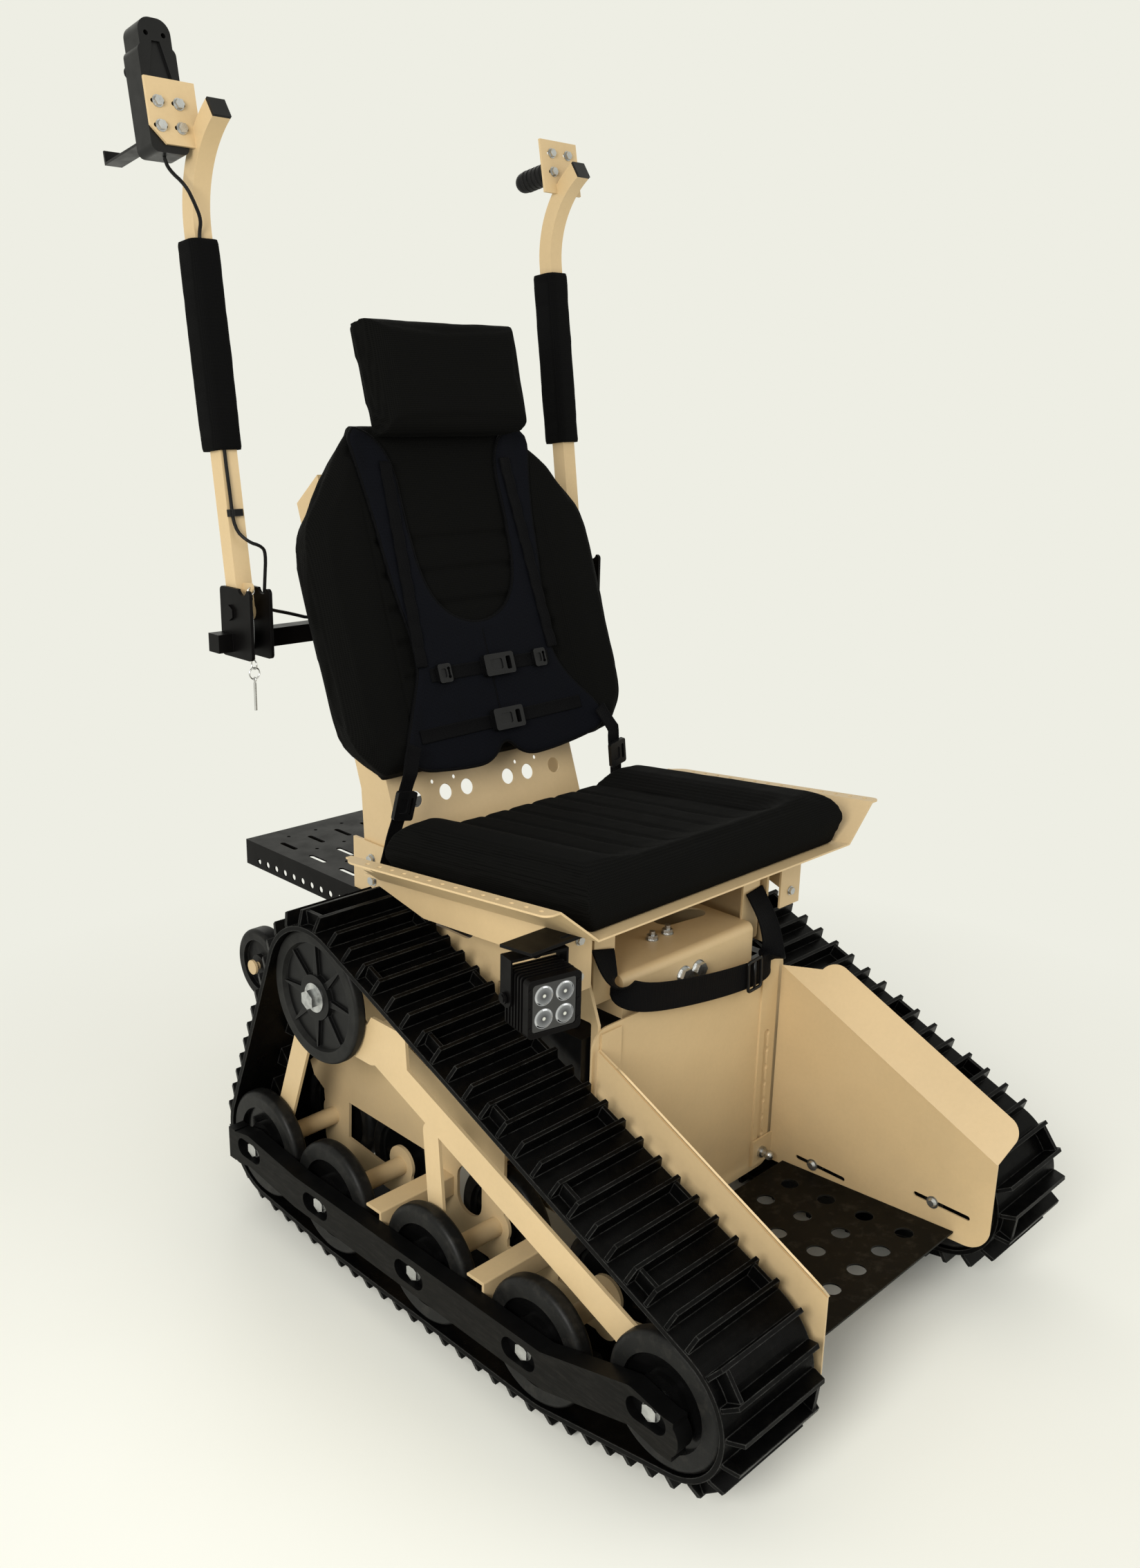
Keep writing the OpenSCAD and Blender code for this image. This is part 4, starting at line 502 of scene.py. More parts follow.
def lens_material():
    """Clear cover over four bright reflector cups, each round a small emitter; the lighter and darker bands in
    the cups are painted reflections.
    """
    p = Paint("lamp_lens", lin(222, 226, 230), 0.08, 0.0, IOR=1.5, Coat_Weight=0.6)
    turn = Matrix.Rotation(LAMP_TURN, 3, "Z")
    cup = p.nearest(p.at, [LAMP + turn @ mm(i * CUP_AT, -55, k * CUP_AT) for i in (-1, 1) for k in (-1, 1)])
    # the lighter and darker bands in each cup are painted reflections
    painted_reflection_rings = p.ramp(p.spread(cup, 0.0, 0.020), [
        (0.0, lin(240, 240, 232)), (0.13, lin(232, 232, 226)), (0.19, lin(70, 71, 74)),
        (0.60, lin(128, 130, 134)), (0.72, lin(206, 208, 212)), (0.80, lin(6, 6, 7))])
    p.color(painted_reflection_rings)
    p.join(p.math("LESS_THAN", cup, CUP_R), p.b.inputs["Metallic"])
    p.rough_noise(0.05, 0.16, 90.0, 3.0)
    p.bump(p.wave(0.0024, "X"), 0.12, 0.0004)
    return p.mat


MAT["lamp_lens"] = lens_material()


def plate_material():
    """Black paint, with the bolts that slide in the guards' slots left in zinc."""
    p = Paint("footplate_finish", lin(12, 11, 9), 0.40, 0.0, Specular_IOR_Level=0.06)
    bolt = p.off_axis(FOOT_BOLTS)
    inside = p.math("LESS_THAN", p.math("ABSOLUTE", p.xyz()["X"]), GUARD_FACE)
    zinc = p.math("MULTIPLY", p.math("LESS_THAN", bolt, BOLT_R), inside)
    tone = p.tones(lin(8, 8, 6), lin(14, 13, 11), 6.0, 5.0, 0.6)
    tone = p.blend(p.math("MULTIPLY", p.edges(0.002), 0.4), tone, lin(70, 68, 64))
    soil = p.math("MULTIPLY", p.spread(p.noise(40.0, 6.0, 0.7), 0.52, 0.72), 0.10)
    tone = p.blend(soil, tone, lin(120, 112, 98))
    p.color(p.blend(zinc, tone, p.tones(lin(150, 152, 152), lin(202, 203, 202), 70.0)))
    p.join(zinc, p.b.inputs["Metallic"])
    p.rough_noise(0.32, 0.50, 24.0, 4.0)
    p.bump(p.noise(560.0, 2.0), 0.16, 0.0006)
    return p.mat


MAT["footplate"] = plate_material()
MAT["harness_buckles"] = moulded("buckle_nylon", lin(6, 6, 7), 0.42, 700.0)


def wheel_material():
    """Grey scuff-marked tyre round a glossy moulded centre."""
    p = Paint("road_wheel", lin(12, 12, 12), 0.5, 0.0, Specular_IOR_Level=0.16)
    r = p.off_axis(AXLES)
    tyre = p.spread(r, 0.0714, 0.0722)
    skin = p.tones(lin(12, 12, 12), lin(22, 22, 21), 18.0, 5.0, 0.65)
    soil = p.math("MULTIPLY", p.spread(p.noise(52.0, 6.0, 0.7), 0.5, 0.75), 0.12)
    skin = p.blend(soil, skin, lin(98, 93, 84))
    centre = p.tones(lin(5, 5, 5), lin(9, 9, 9), 26.0, 3.0)
    p.color(p.blend(tyre, centre, skin))
    p.rough_parts(tyre, 0.13, 0.36, 40.0)
    p.bump(p.math("MULTIPLY", p.noise(620.0, 2.0), tyre), 0.25, 0.0006)
    return p.mat


def drive_material():
    """Moulded black wheel with a rubber rim, and the zinc bolt and washer of its hub."""
    p = Paint("drive_wheel", lin(14, 14, 14), 0.45, 0.0, Specular_IOR_Level=0.14)
    r = p.off_axis([DRIVE])
    zinc = p.math("MULTIPLY", p.math("LESS_THAN", r, HUB_R), p.off_middle(DRIVE_FACE))
    rim = p.spread(r, 0.0925, 0.0935)
    body = p.tones(lin(8, 8, 8), lin(13, 13, 13), 22.0, 4.0)
    skin = p.tones(lin(16, 16, 16), lin(32, 32, 30), 30.0, 6.0, 0.7)
    tone = p.blend(p.math("MULTIPLY", p.edges(0.002), 0.35), p.blend(rim, body, skin), lin(78, 78, 77))
    p.color(p.blend(zinc, tone, p.tones(lin(150, 152, 152), lin(214, 215, 214), 70.0)))
    p.join(zinc, p.b.inputs["Metallic"])
    p.rough_parts(rim, 0.26, 0.44, 36.0)
    p.bump(p.cells(800.0), 0.12, 0.0004)
    return p.mat


def rail_material():
    """Black slide rail whose machined outer face is rubbed grey-brown."""
    p = Paint("slide_rail", lin(8, 8, 8), 0.45, 0.0, Specular_IOR_Level=0.07)
    face = p.math("MULTIPLY", p.facing_x(), p.off_middle(RAIL_FACE))
    worn = p.tones(lin(9, 9, 8), lin(16, 15, 13), 12.0, 6.0, 0.6, (1, 0.35, 1))
    fine = p.spread(p.noise(220.0, 4.0, 0.7, (1, 0.12, 1)), 0.45, 0.8, 0.0, 0.35)
    worn = p.blend(fine, worn, lin(50, 48, 44))
    black = p.tones(lin(7, 7, 7), lin(12, 12, 12), 24.0, 4.0)
    p.color(p.blend(face, black, worn))
    p.rough_parts(face, 0.30, 0.42, 36.0)
    p.bump(p.noise(300.0, 3.0, 0.6, (1, 0.15, 1)), 0.12, 0.0005)
    return p.mat


WHEEL, DRUM = wheel_material(), drive_material()
for side in ("right", "left"):
    MAT[f"{side}_drive_wheel"] = DRUM
    for k in range(1, 6):
        MAT[f"{side}_road_wheel_{k}"] = WHEEL
MAT["guide_rails"] = rail_material()

SLOTS = {
    "tan_paint": "chassis_frame front_box leg_panel seat_pan back_frame right_track_frame left_track_frame "
                 "right_arm_tube left_arm_tube foot_guards",
    "black_paint": "rear_rack arm_cross_bar light_mount footplate light_bracket light_pod",
    "seat_fabric": "seat_cushion back_cushion headrest",
    "vest_fabric": "harness_vest",
    "webbing": "harness_straps leg_strap",
    "black_plastic": "harness_buckles batteries guide_rails right_drive_wheel left_drive_wheel right_arm_cap "
                     "joystick_pod joystick_gimbal left_arm_cap",
    "track_rubber": "right_belt left_belt",
    "zinc_steel": "axles seat_fasteners joystick_bolts left_grip_bolts foot_fasteners",
    "motor_alloy": "gear_motors",
    "soft_rubber": "cable_tail joystick_cable joystick_lever left_hand_grip",
    "wheel_tread": " ".join(f"{s}_road_wheel_{k}" for s in ("right", "left") for k in range(1, 6))
                   + " right_tip_wheel left_tip_wheel",
    "pad_foam": "right_arm_pad left_arm_pad",
    "bright_steel": "lanyard_wire lanyard_pin",
    "lamp_lens": "light_lens",
}
for slot_name, names in SLOTS.items():
    for n in names.split():
        me = NODE[n].data
        me.materials.clear()
        me.materials.append(MAT.get(n, MAT[slot_name]))

# the wire lanyard, a free cord from its eye on the right arm down to the locking pin

hang_y, hang_z, lean = -36.0, 40.0, rad(ARM_LEAN)
HANG = mm(-ARM_X, ARM_Y + hang_y * math.cos(lean) + hang_z * math.sin(lean),
          ARM_Z + hang_z * math.cos(lean) - hang_y * math.sin(lean))
WIRE_DROP = [(0, 0, -22), (0, -2, -44), (0, -4, -66), (0, -3, -90), (0, 0, -112)]
wire_pts = [HANG + mm(*p) for p in catmull(WIRE_DROP, 24)]
curve = bpy.data.curves.new("lanyard_wire_rope", "CURVE")
curve.dimensions = "3D"
curve.bevel_depth = 0.0012
curve.bevel_resolution = 4
curve.use_fill_caps = True
spline = curve.splines.new("POLY")
spline.points.add(len(wire_pts) - 1)
for pt, co in zip(spline.points, wire_pts):
    pt.co = (*co, 1)
wire = link("lanyard_wire_rope", curve)
rope = Paint("wire_rope", lin(176, 177, 178), 0.34, 1.0)
strand = rope.wave(0.0016, "Z", (rad(35), 0, 0))
rope.color(rope.ramp(strand, [(0.2, lin(96, 97, 99)), (0.8, lin(196, 197, 198))]))
rope.rough_noise(0.26, 0.46, 300.0)
rope.bump(strand, 0.6, 0.0004)
curve.materials.append(rope.mat)
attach(wire, "lanyard")
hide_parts("lanyard_wire")

# soft goods: closed forms under a field of heights, swelled as cloth and then sewn


def field_mesh(name, rows, draw, place, turned=False):
    """Closed form over a grid of (x, y, height) in mm, with a flat underside drawn in.

    turned stands it up, facing forwards, for what leans on the back.
    """
    nv, nu = len(rows), len(rows[0])
    top = [p for r in rows for p in r]
    rim = (list(range(nu)) + [j * nu + nu - 1 for j in range(1, nv)]
           + [(nv - 1) * nu + i for i in range(nu - 2, -1, -1)] + [j * nu for j in range(nv - 2, 0, -1)])
    mid = (rows[0][0][1] + rows[-1][0][1]) / 2
    low = [(top[k][0] * draw, mid + (top[k][1] - mid) * draw, 0.0) for k in rim]
    pts = top + low + [(0.0, mid, 0.0)]
    q, n = len(rim), nv * nu
    faces = [(j * nu + i, (j + 1) * nu + i, (j + 1) * nu + i + 1, j * nu + i + 1)
             for j in range(nv - 1) for i in range(nu - 1)]
    faces += [(rim[k], rim[(k + 1) % q], n + (k + 1) % q, n + k) for k in range(q)]
    faces += [(n + k, n + (k + 1) % q, n + q) for k in range(q)]
    if turned:
        pts = [(x, -z, y) for x, y, z in pts]
    return from_mesh(name, [mm(*p) for p in pts], faces, place)


PRESSURE, FRAMES, PULL_IN = 3.5, 18, -0.001


def swell(obj, voxel, cap, pinned):
    """Voxel remesh, then let cloth under pressure fill out, holding the points that rest on something."""
    remesh(obj, voxel)
    rest, out = coords(obj), normals(obj)
    group = obj.vertex_groups.new(name="held")
    group.add([int(i) for i in np.nonzero(pinned(rest))[0]], 1.0, "REPLACE")
    cl = obj.modifiers.new("cloth", "CLOTH")
    st = cl.settings
    st.quality = 4
    st.mass = 0.3
    st.tension_stiffness = st.compression_stiffness = 12
    st.shear_stiffness = 5
    st.bending_stiffness = 0.6
    st.use_pressure = True
    st.uniform_pressure_force = PRESSURE
    st.effector_weights.gravity = 0
    st.vertex_group_mass = "held"
    cl.point_cache.frame_start, cl.point_cache.frame_end = 1, FRAMES
    for f in range(1, FRAMES + 1):
        scene.frame_set(f)
    ev = obj.evaluated_get(bpy.context.evaluated_depsgraph_get())
    now = read(ev.to_mesh(), "co")
    ev.to_mesh_clear()
    # the cover may fill out by the cap, but is hardly pulled in at its edges
    push = np.clip(((now - rest) * out).sum(axis=1), PULL_IN, cap)
    obj.modifiers.remove(cl)
    obj.vertex_groups.clear()
    scene.frame_set(1)
    set_coords(obj, rest + out * push[:, None])


def ripple(p, size, seed):
    """Smooth noise about 0, with waves about size mm long."""
    return noise.noise(Vector((p[0] / size + seed, p[1] / size, p[2] / size)))


def stitch(t):
    """Pucker of a sewn line, t mm along it."""
    return 0.5 * math.sin(t * 2 * math.pi / 14)


def skin_quads(rows, around):
    """Quads between rows of points, each row a closed loop."""
    return [(j * around + i, j * around + (i + 1) % around,
             (j + 1) * around + (i + 1) % around, (j + 1) * around + i)
            for j in range(rows - 1) for i in range(around)]


def end_caps(rows, around):
    return [tuple(range(around)), tuple(range((rows - 1) * around, rows * around))]


def tube(name, pts, r, place, sides):
    """Round tube along points, closed at both ends."""
    pts = [Vector(p) for p in pts]
    turn = [2 * math.pi * k / sides for k in range(sides)]
    verts = []
    side = None
    for i, p in enumerate(pts):
        d = (pts[min(i + 1, len(pts) - 1)] - pts[max(i - 1, 0)]).normalized()
        if side is None:
            side = d.orthogonal().normalized()
        side = (side - d * side.dot(d)).normalized()
        other = d.cross(side)
        verts += [p + (side * math.cos(a) + other * math.sin(a)) * r for a in turn]
    return from_mesh(name, verts, skin_quads(len(pts), sides) + end_caps(len(pts), sides), place)


# seat cushion

SEAT_X, SEAT_L, SEAT_H, SEAT_N = 330.0, 500.0, 96.0, 7
SEAT = PAN @ Matrix.Translation(mm(0, 8, 0.6))


def seat_chan(x):
    """1 in the stitched lines that run front to back."""
    return max(groove(x - 0.53 * SEAT_X * (2 * i / (SEAT_N - 1) - 1), 10) for i in range(SEAT_N))


def seat_top(x, y):
    """The cushion's height, dished between its side bolsters."""
    a = abs(x) / SEAT_X
    return SEAT_H - 22 * (1 - smooth(0.5, 0.74, a)) * smooth(0.0, 0.22, y / SEAT_L) - 3 * a ** 4


def seat_rim(x, y):
    return min(edge(SEAT_X - abs(x), 40), edge(y, 42), edge(SEAT_L - y, 30))


rows = []
for j in range(51):
    y = SEAT_L * (1 - math.cos(math.pi * j / 50)) / 2
    row = []
    for i in range(81):
        x = SEAT_X * math.sin(math.pi / 2 * (2 * i / 80 - 1))
        row.append((x * 0.992, 4 + y * 0.984, 18 + (seat_top(x, y) - 23) * (0.35 + 0.65 * seat_rim(x, y))))
    rows.append(row)
seat = field_mesh("seat_cushion_cover", rows, 0.94, SEAT)
swell(seat, 0.006, 0.007, lambda c: c[:, 2] < 0.012)


def sew_seat(obj):
    co, nn = coords(obj) * 1000, normals(obj)
    for i, (x, y, z) in enumerate(co):
        if nn[i][2] > 0.1 and abs(x) < 0.56 * SEAT_X:
            g = seat_chan(x) * smooth(0.03, 0.14, y / SEAT_L) * (1 - smooth(0.93, 0.985, y / SEAT_L))
            co[i] -= nn[i] * g * (4.5 + stitch(y))
        hold = smooth(6, 16, z)
        co[i] += nn[i] * hold * (1.3 * ripple((x, y, z), 70, 3.1) + 0.6 * ripple((x, y, z), 24, 9.2))
        co[i][2] = max(0.0, min(co[i][2], seat_top(x, min(max(y, 0), SEAT_L)) + 1.0))
    set_coords(obj, co / 1000)


sew_seat(seat)
subdivide(seat)
finish_piece(seat, "chassis", MAT["seat_fabric"])
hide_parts("seat_cushion")

# back cushion

CUSH_X, CUSH_H, CUSH_D, BOLSTER = 348.0, 640.0, 72.0, 24.0
BACK_FORM = [(u, v) for u, v, _ in catmull([
    (0, .80, 0), (.04, .885, 0), (.12, .985, 0), (.3, 1, 0),
    (.66, .995, 0), (.8, .84, 0), (.92, .66, 0), (1, .5, 0)], 56)]
CUSHION = BACK @ Matrix.Translation(mm(0, -0.5, BACK_S0))


def back_half(s):
    """Half the cushion's width at height s."""
    return CUSH_X * pick(s / CUSH_H, BACK_FORM)


def back_front(x):
    """The cushion's depth, with a bolster on each side."""
    a = abs(x) / CUSH_X
    return CUSH_D + BOLSTER * smooth(0.5, 0.74, a) - 4 * (x / CUSH_X) ** 2


def back_rim(x, s):
    return min(edge(back_half(s) - abs(x), 34), edge(s, 34), edge(CUSH_H - s, 30))


rows = []
for j in range(71):
    s = CUSH_H * j / 70
    row = []
    for i in range(61):
        u = 2 * i / 60 - 1
        x = back_half(s) * math.sin(math.pi / 2 * u) * (1 - 0.02 * u * u)
        row.append((x * 0.99, 3 + s * 0.99, 8 + (back_front(x) - 14) * (0.36 + 0.64 * back_rim(x, s))))
    rows.append(row)
back = field_mesh("back_cushion_cover", rows, 0.94, CUSHION, True)
swell(back, 0.006, 0.006, lambda c: c[:, 1] > -0.012)


def sew_back(obj):
    co, nn = coords(obj) * 1000, normals(obj)
    for i, (x, y, z) in enumerate(co):
        a, up_it = abs(x) / CUSH_X, z / CUSH_H
        if nn[i][1] < -0.1:
            if a < 0.6:
                g = (1 - smooth(0.52, 0.60, a)) * max(groove(z - (110 + 61 * k), 11) for k in range(6))
                co[i] -= nn[i] * g * (7.0 + stitch(x))
            g = groove(abs(x) - 0.60 * CUSH_X, 8) * smooth(0.08, 0.14, up_it) * (1 - smooth(0.72, 0.8, up_it))
            h = groove(back_half(min(max(z, 0), CUSH_H)) - abs(x) - 33, 5) * smooth(0.05, 0.1, up_it)
            co[i] -= nn[i] * (4.0 * g + 2.4 * h)
        hold = smooth(6, 16, -y)
        co[i] += nn[i] * hold * (1.4 * ripple((x, y, z), 80, 5.7) + 0.7 * ripple((x, y, z), 26, 1.4))
        co[i][1] = min(0.0, max(co[i][1], -(back_front(x) + 0.6)))
    set_coords(obj, co / 1000)


sew_back(back)
subdivide(back)
finish_piece(back, "chassis", MAT["seat_fabric"])
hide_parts("back_cushion")

# headrest: its pad, the carrier plate and the two flat posts

HEAD_X, HEAD_H, HEAD_D = 178.0, 205.0, 78.0


def head_face(x, s):
    """The pad's depth, a little hollow in the middle."""
    return 14 + (HEAD_D - 14 - 8 * math.cos(math.pi / 2 * x / HEAD_X) ** 2) * (
        0.4 + 0.6 * min(edge(HEAD_X - abs(x), 30), edge(s, 30), edge(HEAD_H - s, 30)))


rows = []
for j in range(33):
    s = HEAD_H * (1 - math.cos(math.pi * j / 32)) / 2
    row = []
    for i in range(49):
        x = HEAD_X * (0.93 + 0.07 * s / HEAD_H) * math.sin(math.pi / 2 * (2 * i / 48 - 1))
        row.append((x * 0.985, 2 + s * 0.98, head_face(x, s) - 5))
    rows.append(row)
head = field_mesh("headrest_pad", rows, 0.96, HEAD, True)
swell(head, 0.005, 0.005, lambda c: c[:, 1] > -0.010)
co, nn = coords(head) * 1000, normals(head)
for i, (x, y, z) in enumerate(co):
    hold = smooth(6, 14, -y)
    g = groove(-y - 30, 5) * smooth(0.15, 0.4, 1 - abs(nn[i][1]))
    co[i] += nn[i] * (hold * (0.9 * ripple((x, y, z), 60, 2.2) + 0.4 * ripple((x, y, z), 20, 6.0)) - 2.6 * g)
    co[i][1] = min(0.0, max(co[i][1], -HEAD_D - 0.5))
set_coords(head, co / 1000)
subdivide(head)
finish_piece(head, "chassis", MAT["seat_fabric"])


def block(name, size, centre, place):
    """Box with rounded edges."""
    x, y, z = (v / 2000 for v in size)
    c = mm(*centre)
    v = [c + Vector((i * x, j * y, k * z)) for i in (-1, 1) for j in (-1, 1) for k in (-1, 1)]
    f = [(0, 1, 3, 2), (4, 6, 7, 5), (0, 4, 5, 1), (2, 3, 7, 6), (0, 2, 6, 4), (1, 5, 7, 3)]
    obj = from_mesh(name, v, f, place, True)
    b = obj.modifiers.new("bevel", "BEVEL")
    b.width, b.segments, b.limit_method = 0.0012, 3, "ANGLE"
    apply_mod(obj, b)
    return obj


plate = block("headrest_plate", (140, 4, 150), (0, 2.3, 95), HEAD)
finish_piece(plate, "chassis", MAT["black_paint"])


def sweep(name, centres, acrosses, prof, place=None):
    """Closed profile carried along points; its first axis follows the direction given at each point."""
    n, verts = len(centres), []
    for i, (c, a) in enumerate(zip(centres, acrosses)):
        c, a = Vector(c), Vector(a).normalized()
        d = (Vector(centres[min(i + 1, n - 1)]) - Vector(centres[max(i - 1, 0)])).normalized()
        a = (a - d * a.dot(d)).normalized()
        o = d.cross(a)
        verts += [c + a * u + o * v for u, v in prof]
    return from_mesh(name, verts, skin_quads(n, len(prof)) + end_caps(n, len(prof)), place)


def round_rect(w, h, r, steps=3):
    out = []
    for cx, cy, a0 in ((1, 1, 0), (-1, 1, 90), (-1, -1, 180), (1, -1, 270)):
        for i in range(steps + 1):
            a = rad(a0 + 90 * i / steps)
            out.append((cx * (w / 2 - r) + r * math.cos(a), cy * (h / 2 - r) + r * math.sin(a)))
    return out


def strap(name, centres, acrosses, width, thick, place=None):
    """Flat webbing with a thick woven edge on each side."""
    w, h = width / 2, thick / 2
    prof = [(-w, 0), (-w + h * 0.4, h), (-w + 2.5 * h, h), (-w + 3.2 * h, h * 0.72), (0, h * 0.72),
            (w - 3.2 * h, h * 0.72), (w - 2.5 * h, h), (w - h * 0.4, h), (w, 0)]
    prof += [(u, -v) for u, v in reversed(prof[1:-1])]
    return sweep(name, centres, acrosses, prof, place)


def back_pt(t, s):
    """(y, z) of the point s up the leaning back and t behind it."""
    a = rad(BACK_LEAN)
    return (BACK_Y + t * math.cos(a) + s * math.sin(a), BACK_Z + s * math.cos(a) - t * math.sin(a))


POST_X, POST_T, BEND = 45, 10.3, 7
for side, tag in ((-1, "right"), (1, "left")):
    line = [mm(side * POST_X, *back_pt(POST_T, s)) for s in (510, 620, 735)]
    top, end = mm(side * POST_X, *back_pt(POST_T, 752)), mm(side * POST_X, 1050 - Y_MID, 1506)
    line += [line[2].lerp(top, k / BEND).lerp(top.lerp(end, 0.25), k / BEND) for k in range(1, BEND)]
    line += [top.lerp(end, 0.3), top.lerp(end, 0.7), end]
    post = sweep(f"headrest_post_{tag}", line, [(1, 0, 0)] * len(line),
                 [(u / 1000, v / 1000) for u, v in round_rect(16, 13.6, 2)])
    finish_piece(post, "chassis", MAT["black_paint"])
    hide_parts("headrest")
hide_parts("headrest")
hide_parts("headrest")

# harness vest, its bindings and its webbing, laid over the back cushion

VEST_HALF = [(0, 150), (72, 174), (112, 233), (122, 338), (121, 489), (222, 541), (190, 368), (182, 244),
             (157, 103), (188, 32), (250, -52), (231, -89), (104, -104), (40, -103), (0, -60)]
VEST_S0, VEST_PLY = 97, 12


def over_back(x, s, t):
    """Point of the vest's layers, t over the cushion's cover, in the cushion's own frame, in metres."""
    s2 = min(max(s, 0.0), CUSH_H)
    fall = 1 - 0.30 * (1 - min(edge(back_half(s2) - abs(x) + 6, 34), edge(CUSH_H - s2 + 6, 30)))
    return mm(x, -(8 + (back_front(x) - 8) * fall + t), s)


def chaikin(pts, rounds):
    """Closed outline with its corners cut, and cut again."""
    for _ in range(rounds):
        out = []
        for a, b in zip(pts, pts[1:] + pts[:1]):
            out += [(a[0] * 0.75 + b[0] * 0.25, a[1] * 0.75 + b[1] * 0.25),
                    (a[0] * 0.25 + b[0] * 0.75, a[1] * 0.25 + b[1] * 0.75)]
        pts = out
    return pts


half = [(x, s + VEST_S0) for x, s in VEST_HALF]
ring = chaikin(half + [(-x, s) for x, s in reversed(half[1:-1])], 3)
ring = [(math.copysign(min(abs(x), back_half(min(s, CUSH_H)) - 8), x), min(s, CUSH_H - 6)) for x, s in ring]


def ring_distance(pts, loop):
    """Distance of each point from a closed outline."""
    a = np.array(loop)
    b = np.roll(a, -1, axis=0)
    ab = b - a
    best = np.full(len(pts), 1e9)
    for p, v in zip(a, ab):
        t = np.clip(((pts - p) @ v) / max(v @ v, 1e-9), 0, 1)
        best = np.minimum(best, np.linalg.norm(pts - p - t[:, None] * v, axis=1))
    return best


ring_edges = [(i, (i + 1) % len(ring)) for i in range(len(ring))]
flat_pts, _, flat_faces = delaunay_2d_cdt([Vector(p) for p in ring], ring_edges, [], 1, 1e-6)[:3]
near = len(flat_pts)
rim = dict.fromkeys((a, b) for f in flat_faces for a, b in zip(f, list(f[1:]) + [f[0]]))
walls = [(a, b, near + b, near + a) for a, b in rim if (b, a) not in rim]
far_side = [tuple(f) for f in flat_faces]
near_side = [tuple(near + i for i in reversed(f)) for f in flat_faces]
vest = from_mesh("harness_vest_panel", [mm(p.x, y, p.y) for y in (0, -VEST_PLY) for p in flat_pts],
                 far_side + near_side + walls, CUSHION)
remesh(vest, 0.004)
co = coords(vest) * 1000
gap = ring_distance(co[:, [0, 2]], ring)
for i, (x, y, s) in enumerate(co):
    t = min(1.0, max(0.0, -y / VEST_PLY))
    seam = groove(x, 7) * smooth(25, 45, s) * (1 - smooth(231, 247, s))
    puff = 0.42 + 0.58 * edge(gap[i], 13) - 0.26 * seam
    ply = 0.9 + t * (8 * puff + max(0.0, 0.9 * ripple((x, 0, s), 46, 4.4)) * smooth(6, 16, gap[i]))
    co[i] = over_back(x, s, ply) * 1000
set_coords(vest, co / 1000)
subdivide(vest)
finish_piece(vest, "chassis", MAT["vest_fabric"])
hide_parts("harness_vest")

zip_line = [over_back(0.8 * math.sin(k * 2.4), 47 + 4 * k, 7.2) for k in range(49)]
chain = tube("harness_vest_zip", zip_line, 0.0016, CUSHION, 8)
finish_piece(chain, "chassis", MAT["webbing"])
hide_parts("harness_vest")
loop = ring + ring[:2]
trim = tube("harness_vest_binding", [over_back(x * 0.995, s, 3.4) for x, s in loop], 0.0032, CUSHION, 10)
finish_piece(trim, "chassis", MAT["webbing"])
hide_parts("harness_vest")


WEB_W, WEB_T = 25.0, 10.8


def web_on_vest(name, a, b, n=40, loops=0.0):
    """Webbing laid from a to b over the vest; loops lifts it between its bar tacks."""
    pts = [(a[0] + (b[0] - a[0]) * k / n, a[1] + (b[1] - a[1]) * k / n) for k in range(n + 1)]
    d = Vector((b[0] - a[0], 0, b[1] - a[1])).normalized()
    across = Vector((-d.z, 0, d.x))
    line = [over_back(x, s, WEB_T + 0.25 * ripple((x, 0, s), 30, 8.8) + loops * abs(math.sin(math.pi * s / 44)))
            for x, s in pts]
    o = strap(name, line, [across] * len(line), WEB_W / 1000, 0.0022, CUSHION)
    finish_piece(o, "chassis", MAT["webbing"])
    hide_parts("harness_straps")


web_on_vest("chest_webbing", (-145, 168), (145, 168))
web_on_vest("waist_webbing", (-200, 67 - 3.5), (200, 67 + 3.5))
web_on_vest("shoulder_webbing_right", (-161.7, 185), (-142.3, 555), 120, 2.2)
web_on_vest("shoulder_webbing_left", (161.7, 185), (142.3, 555), 120, 2.2)

# side webbing: from the vest's lower corners down to the seat pan

drop = back_front(258) + 8.9 + 2.1
for side, tag in ((-1, "right"), (1, "left")):
    a = [mm(side * 232, *back_pt(-drop, BACK_S0 + 52)), mm(side * 256, *back_pt(-drop, BACK_S0 + 4)),
         mm(side * 300, 812 - Y_MID, PAN_Z - 537 * math.tan(rad(PAN_LEAN)) + 2)]
    line = [a[0].lerp(a[1], k / 6) for k in range(6)] + [a[1].lerp(a[2], k / 16) for k in range(17)]
    for k, p in enumerate(line):
        line[k] = p + mm(0, 0.8 * math.sin(k * 0.9), 0)
    o = strap(f"side_webbing_{tag}", line, [(1, 0, 0)] * len(line), 0.030, 0.0024)
    finish_piece(o, "chassis", MAT["webbing"])
    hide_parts("harness_straps")

# leg strap: hangs from the left ear, lies across and goes up to the right ear

ROUTE = [(196, 383, 655), (203, 352, 600), (196, 334, 548), (150, 328, 530), (0, 326, 545), (-150, 330, 575),
         (-206, 346, 610), (-198, 383, 655)]
ACROSS = [(1, 0, 0), (1, 0, 0.05), (0.75, 0, 0.66), (0.12, 0, 1), (0.0, 0, 1), (0.15, 0, 1),
          (-0.7, 0, 0.7), (-1, 0, 0.1)]
ROUTE_STEPS = 84
line = [mm(x, y - Y_MID, z) for x, y, z in catmull(ROUTE, ROUTE_STEPS)]
turns = [Vector(v) for v in catmull(ACROSS, ROUTE_STEPS)]
legs = strap("leg_strap_webbing", line, turns, 0.050, 0.0024)
finish_piece(legs, "chassis", MAT["webbing"])
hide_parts("leg_strap")
frame_line = [(u / 1000, 0, v / 1000) for u, v in round_rect(36, 56, 5, 4)]
at = Matrix.Translation(mm(130, 322.0 - Y_MID, 531)) @ Matrix.Rotation(rad(-4), 4, "Y")
slider = tube("leg_strap_slider", frame_line + frame_line[:2], 0.0030, at, 10)
